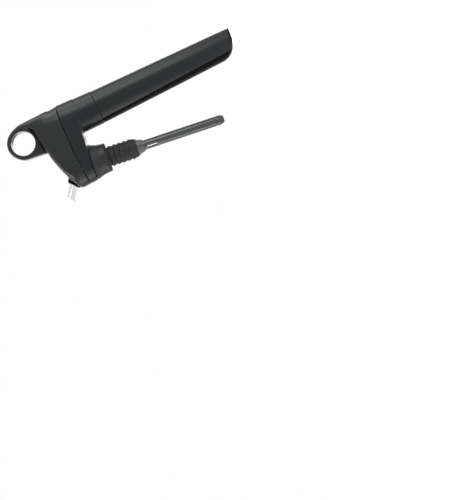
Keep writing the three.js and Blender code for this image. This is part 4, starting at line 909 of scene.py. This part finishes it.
def toe_drop(x, height):
    """How much lower a point near the end lies: nothing at the heel, 1.5 at the toe."""
    return -1.5 * np.clip((x + 2) / 13.4, 0, 1.1) * np.clip((-height - 90) / (handle_long - 90), 0, 1) ** 2


def down_to(last):
    """Heights from under the joint, over its rounded edge, to the heel's turn, then closer and
    closer to the last."""
    edge = -0.1 - 0.4 * (1 - np.cos(np.linspace(0, np.pi / 2, 5)))
    end = last + (turn_height - last) * np.linspace(1, 0, 26)[1:] ** 2
    return np.concatenate([edge, [-0.7], np.linspace(-0.9, turn_height, 60), end])


def edge_draw(depth, r):
    """How far a rounded edge draws in at a depth from it: r - sqrt(r^2 - (r - depth)^2)."""
    return r * (1 - np.sqrt(1 - np.clip(1 - depth / r, 0, 1) ** 2))


def shell_rows(heights):
    """Sections of the shell: the squared round from crease to crease and back round the bore, with
    its edges at the joint, the cap and the crease rounded."""
    crease, front = crease_at(heights) + half_gap, front_at(heights)
    turn_at = crease_turn(crease, front)
    sweep = np.sin(np.linspace(-np.pi / 2, np.pi / 2, 97))
    angle = turn_at * sweep
    at_joint = edge_draw(heights[0] - heights, joint_edge)[:, None]
    draw = edge_draw(heights - heights[-1], 0.35)[:, None] + at_joint
    draw = draw + edge_draw((turn_at - np.abs(angle)) * mean_r, 0.3)
    along = np.where(np.abs(angle) < np.pi / 2, taper(heights, 15.1, 12.3)[:, None], front[:, None])
    outer_x, outer_y = squared(angle, along - draw, taper(heights, 15.3, 12.9)[:, None] - draw)
    steps, radii = [0.7, 0.71, 13.9, 15, 98.4, 99.5, 137], [14.45, 13.95, 13.95, 12.7, 12.7, 11.4, 10.9]
    bore = np.interp(-heights, steps, radii)
    # Where the crease lies outside the bore, the bore's sweep ends just short of a full turn.
    bore_angle = (np.pi - np.arccos(np.clip(-crease / bore, 0, 0.9998)))[:, None] * sweep[::-1]
    inner_x, inner_y = bore[:, None] * np.cos(bore_angle), bore[:, None] * np.sin(bore_angle)
    return np.stack([np.hstack([outer_x, inner_x]), np.hstack([outer_y, inner_y])], -1)


def stacked(sections, heights, first_closing, last_closing):
    """Rows of a section carried down the handle, with both ends drawn shut on a middle line."""
    rows = np.concatenate([first_closing[None], sections, last_closing[None]])
    levels = np.concatenate([heights[:1], heights, heights[-1:]])[:, None]
    return np.dstack([rows, levels + toe_drop(rows[..., 0], levels)])


shell_heights = down_to(half_gap - cap_at)
shell_section = shell_rows(shell_heights)
closing = (shell_section + shell_section[:, ::-1]) / 2
shell_grid = stacked(shell_section, shell_heights, closing[0], closing[-1])
handle_shell = grid_skin("handle_shell_skin", shell_grid, handle_axis)
dress(handle_shell, soft_charcoal_cool_shaded, "handle", "handle_shell")


# ---- Handle strip: glossy black moulding that closes the shell's open side, stepped in under
# its edges, and wraps the end as a thin cap.
gloss_black = moulded(
    "gloss_black_plastic",
    (0.0032, 0.0035, 0.0038),
    (0.012, 0.012, 0.0125),
    roughness=0.24,
    grain=2400,
    depth=0.004,
    specular=0.05,
)


def strip_rows(heights, capped, draw):
    """Sections of the strip, drawn in by draw: the squared round's front from crease to crease, and
    back along a chord that is hollowed for the cup, or round the back where the cap is."""
    crease, front = np.where(capped, 0, crease_at(heights) - half_gap), front_at(heights)
    back, side = taper(heights, 15.1, 12.3) - draw, (taper(heights, 14.8, 12.4) - draw)[:, None]
    turn_at = crease_turn(crease, front)
    front_sweep = 2 * np.pi - 2 * turn_at
    share = (1 - np.cos(np.linspace(0, np.pi, 61))) / 2
    crease_edge = edge_draw(np.minimum(share, 1 - share) * front_sweep * mean_r, 0.25)
    at_joint = edge_draw(heights[0] - heights, joint_edge)[:, None]
    rounding = np.where(capped[:, None], 0, crease_edge) + at_joint
    front_x, front_y = squared(turn_at + front_sweep * share, front[:, None] - rounding, side - rounding)
    chord = np.linspace(-1, 1, 41)[1:-1]
    rest_angle = turn_at * chord
    along = np.where(np.abs(rest_angle) < np.pi / 2, back[:, None], front[:, None])
    arc_x, arc_y = squared(rest_angle, along, side)
    steps, radii = [0.7, 0.71, 13.9, 15, 98.4, 98.41, 138], [14.45, 13.95, 13.95, 12.7, 12.7, 0.1, 0.1]
    cup = np.interp(-heights, steps, radii)[:, None]
    chord_y = front_y[:, :1] * chord
    chord_x = np.minimum(crease[:, None], -np.sqrt(np.maximum(cup**2 - chord_y**2, 0)))
    rest_x = np.where(capped[:, None], arc_x, chord_x)
    rest_y = np.where(capped[:, None], arc_y, chord_y)
    return np.stack([np.hstack([front_x, rest_x]), np.hstack([front_y, rest_y])], -1)


open_heights = down_to(-half_gap - cap_at)
cap_heights = -cap_at - np.array([0.15, 0.16, 0.25, 0.4, 0.8, 1.1, 1.3, 1.48, 1.58, 1.6])
cap_draw = np.array([0.2, 0.12, 0.03, 0, 0, 0.02, 0.14, 0.35, 0.7, 1.3])
strip_heights = np.concatenate([open_heights, cap_heights])
capped = np.arange(len(strip_heights)) >= len(open_heights)
strip_section = strip_rows(strip_heights, capped, np.concatenate([np.zeros(len(open_heights)), cap_draw]))
strip_middle = strip_section.mean(axis=1, keepdims=True) * np.ones_like(strip_section)
strip_grid = stacked(strip_section, strip_heights, strip_middle[0], strip_middle[-1])
handle_strip = grid_skin("handle_strip_skin", strip_grid, handle_axis)
dress(handle_strip, gloss_black, "handle", "handle_strip")


# ---- Spout collar: small gloss black socket with a slanted face, pressed into the cover. A thin
# skirt round its foot reaches down to the brow.
def slanted(name, profile, middle, slant):
    """A turned piece on the spout's axis whose far end is cut on a slant: a point past the slanted
    plane slides back along the axis onto it, z <= middle - x tan(slant). A point given on_foot
    stands at the collar's foot."""
    grid = rings(profile, round_angles(96))
    x, z = grid[..., 0], grid[..., 2]
    limit = middle - x * math.tan(slant)
    level = np.where(z == on_foot, collar_foot_at(x), z)
    past = np.clip((level - middle) / 8, -1, 0.5)
    grid[..., 2] = np.where(level > middle - 6, np.minimum(level, limit - 0.05 * (0.5 - past)), level)
    return grid_skin(name, grid, spout_axis, ring_rows=True)


on_foot, collar_bore, skirt_in, skirt_out = 0.0, 5.2, 6.45, 6.85
collar_skirt = [(skirt_in, collar_flange), (skirt_in, on_foot), (skirt_out, on_foot), (6.4, 13.6)]
collar_socket = [(6.1, 15.6), (5.95, 17.5), (5.85, 30), (5.7, 30.2), (5.35, 30.2), (collar_bore, 30)]
spout_collar = slanted(
    "spout_collar_skin",
    [(collar_bore, collar_flange), *collar_skirt, *collar_socket],
    middle=17.1,
    slant=math.radians(13),
)
dress(spout_collar, gloss_black, "head", "spout_collar")


# ---- Spout nozzle: clear moulded plastic, slightly tapered, with a slanted drip-free mouth and a
# groove for its ring near the inner end.
clear, clear_tree, clear_shader = one_shader(
    "clear_plastic", {"Roughness": 0.06, "IOR": 1.49, "Transmission Weight": 1.0}
)
clear_at = node(clear_tree, "ShaderNodeTexCoord").outputs["Object"]
clouded = mixed(
    clear_tree,
    noise(clear_tree, clear_at, scale=400.0, detail=2.0),
    (0.78, 0.785, 0.79, 1),
    (0.86, 0.865, 0.87, 1),
)
clear_tree.links.new(clouded, clear_shader.inputs["Base Color"])
nozzle_bore, nozzle_r, groove_r = 3.7, 5, 4.25
nozzle_foot = [(nozzle_bore, 8.4), (4.8, 8.4), (nozzle_r, 8.6), (nozzle_r, 10.25)]
ring_groove = [(groove_r, 10.3), (groove_r, 11.3), (nozzle_r, 11.35), (nozzle_r, 17.7)]
nozzle_mouth = [(4.45, 33.5), (4.32, 35), (4.1, 35.1), (3.75, 35.1), (nozzle_bore, 35)]
nozzle = slanted(
    "spout_nozzle_skin",
    nozzle_foot + ring_groove + nozzle_mouth,
    middle=30.1,
    slant=math.radians(22.9),
)
dress(nozzle, clear, "nozzle", "spout_nozzle")


# ---- Carried-over pieces: the small turned, wound and moulded parts inside keep their CAD
# shapes and get the finish of what each is made of.
grey_silicone = moulded(
    "grey_silicone",
    (0.13, 0.13, 0.135),
    (0.2, 0.2, 0.2),
    roughness=0.5,
    grain=1500,
    depth=0.01,
    specular=0.4,
)
natural_white = moulded(
    "natural_white_plastic",
    (0.62, 0.61, 0.57),
    (0.7, 0.69, 0.66),
    roughness=0.38,
    grain=1800,
    depth=0.006,
    specular=0.45,
)


def rings_and_stains(tree, given, at):
    """Turned or drawn metal: fine rings in tone and height, from noise that is squeezed along the
    axis, and stains that dull it here and there."""
    squeezed = node(tree, "ShaderNodeMapping", [("Vector", at), ("Scale", given["Ring Scale"])]).outputs[0]
    fine = noise(tree, squeezed, scale=1.0, detail=3.0)
    stains = ranged(tree, noise(tree, at, scale=90.0, detail=4.0), (0, 1), (-0.07, 0.1))
    colour = mixed(tree, fine, given["Dark Colour"], given["Colour"])
    return colour, worked(tree, "ADD", given["Roughness"], stains), fine


machined_skin = surface_group(
    "machined_skin",
    {
        "Colour": ("NodeSocketColor", (0.6, 0.6, 0.6, 1)),
        "Dark Colour": ("NodeSocketColor", (0.5, 0.5, 0.5, 1)),
        "Roughness": ("NodeSocketFloat", 0.3),
        "Ring Scale": ("NodeSocketVector", (40, 40, 4000)),
    },
    rings_and_stains,
)


def machined(name, colour, roughness, ring_size, ring_depth):
    """Metal of a machined or drawn piece. ring_size is its rings in a metre, ring_depth in mm."""
    values = {
        "Colour": (*colour, 1),
        "Dark Colour": (*(c * 0.82 for c in colour), 1),
        "Roughness": roughness,
        "Ring Scale": (40, 40, ring_size),
    }
    return finished(name, machined_skin, values, ring_depth, {"Metallic": 1})


steel = machined("drawn_steel", (0.62, 0.63, 0.65), 0.28, ring_size=3000, ring_depth=0.004)
aluminium = machined("turned_aluminium", (0.7, 0.71, 0.73), 0.36, ring_size=5000, ring_depth=0.008)
brass = machined("turned_brass", (0.72, 0.53, 0.24), 0.32, ring_size=5000, ring_depth=0.006)
finishes = {
    "rubber": black_rubber,
    "silicone": grey_silicone,
    "white": natural_white,
    "steel": steel,
    "aluminium": aluminium,
    "brass": brass,
    "tube": tube_grey,
    "stopper": satin_grey,
    "softblack": soft_charcoal_cool_shaded,
    "strip": gloss_black,
    "clear": clear,
}
for part in frame["record"]["subparts"]:
    carried = frame["nodes"][part["node"]]
    carried.material_slots[0].material = finishes[part["material_slot"]]


# ---- Springs: music wire, coiled cold with closer end turns. One pushes the gas valve's spool
# and button back, the other holds the regulator's piston up.
def wound_spring(name, place, r, wire, turns, low, high):
    """A wire round the axis: at share s of its length it stands at angle 2 pi turns s and at a
    height between low and high that runs as s - sin(2 pi s) / 8 pi, so its ends lie closer. Its
    round section is drawn shut at both ends."""
    s = np.linspace(0, 1, int(turns * 36) + 1)
    angle = 2 * np.pi * turns * s
    height = low + wire + (high - low - 2 * wire) * (s - 0.25 * np.sin(2 * np.pi * s) / (2 * np.pi))
    thick = np.concatenate([[0], np.full(len(s), wire), [0]])[:, None]
    angle, height = (np.concatenate([row[:1], row, row[-1:]])[:, None] for row in (angle, height))
    off_axis = r + thick * np.cos(round_angles(10))
    level = height + thick * np.sin(round_angles(10))
    coil = np.stack([off_axis * np.cos(angle), off_axis * np.sin(angle), level], -1)
    return grid_skin(name, coil, place, flat_angle=60)


def compressed_by(piece):
    """Gives a spring a mesh of its own, which stays at its full length."""
    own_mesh(piece)


spool_end, valve_end, button_stroke = 19.3, 25.25, 2.5
valve_spring = wound_spring(
    "valve_spring_wire", button_axis, r=2.2, wire=0.25, turns=4, low=spool_end, high=valve_end
)
dress(valve_spring, steel, "head", "valve_spring")
compressed_by(valve_spring)
chamber_floor, piston_foot, piston_stroke = 9.15, 18.15, 1.2
regulator_spring = wound_spring(
    "regulator_spring_wire", handle_axis, r=4.6, wire=0.45, turns=4.5, low=chamber_floor, high=piston_foot
)
dress(regulator_spring, steel, "head", "regulator_spring")
compressed_by(regulator_spring)
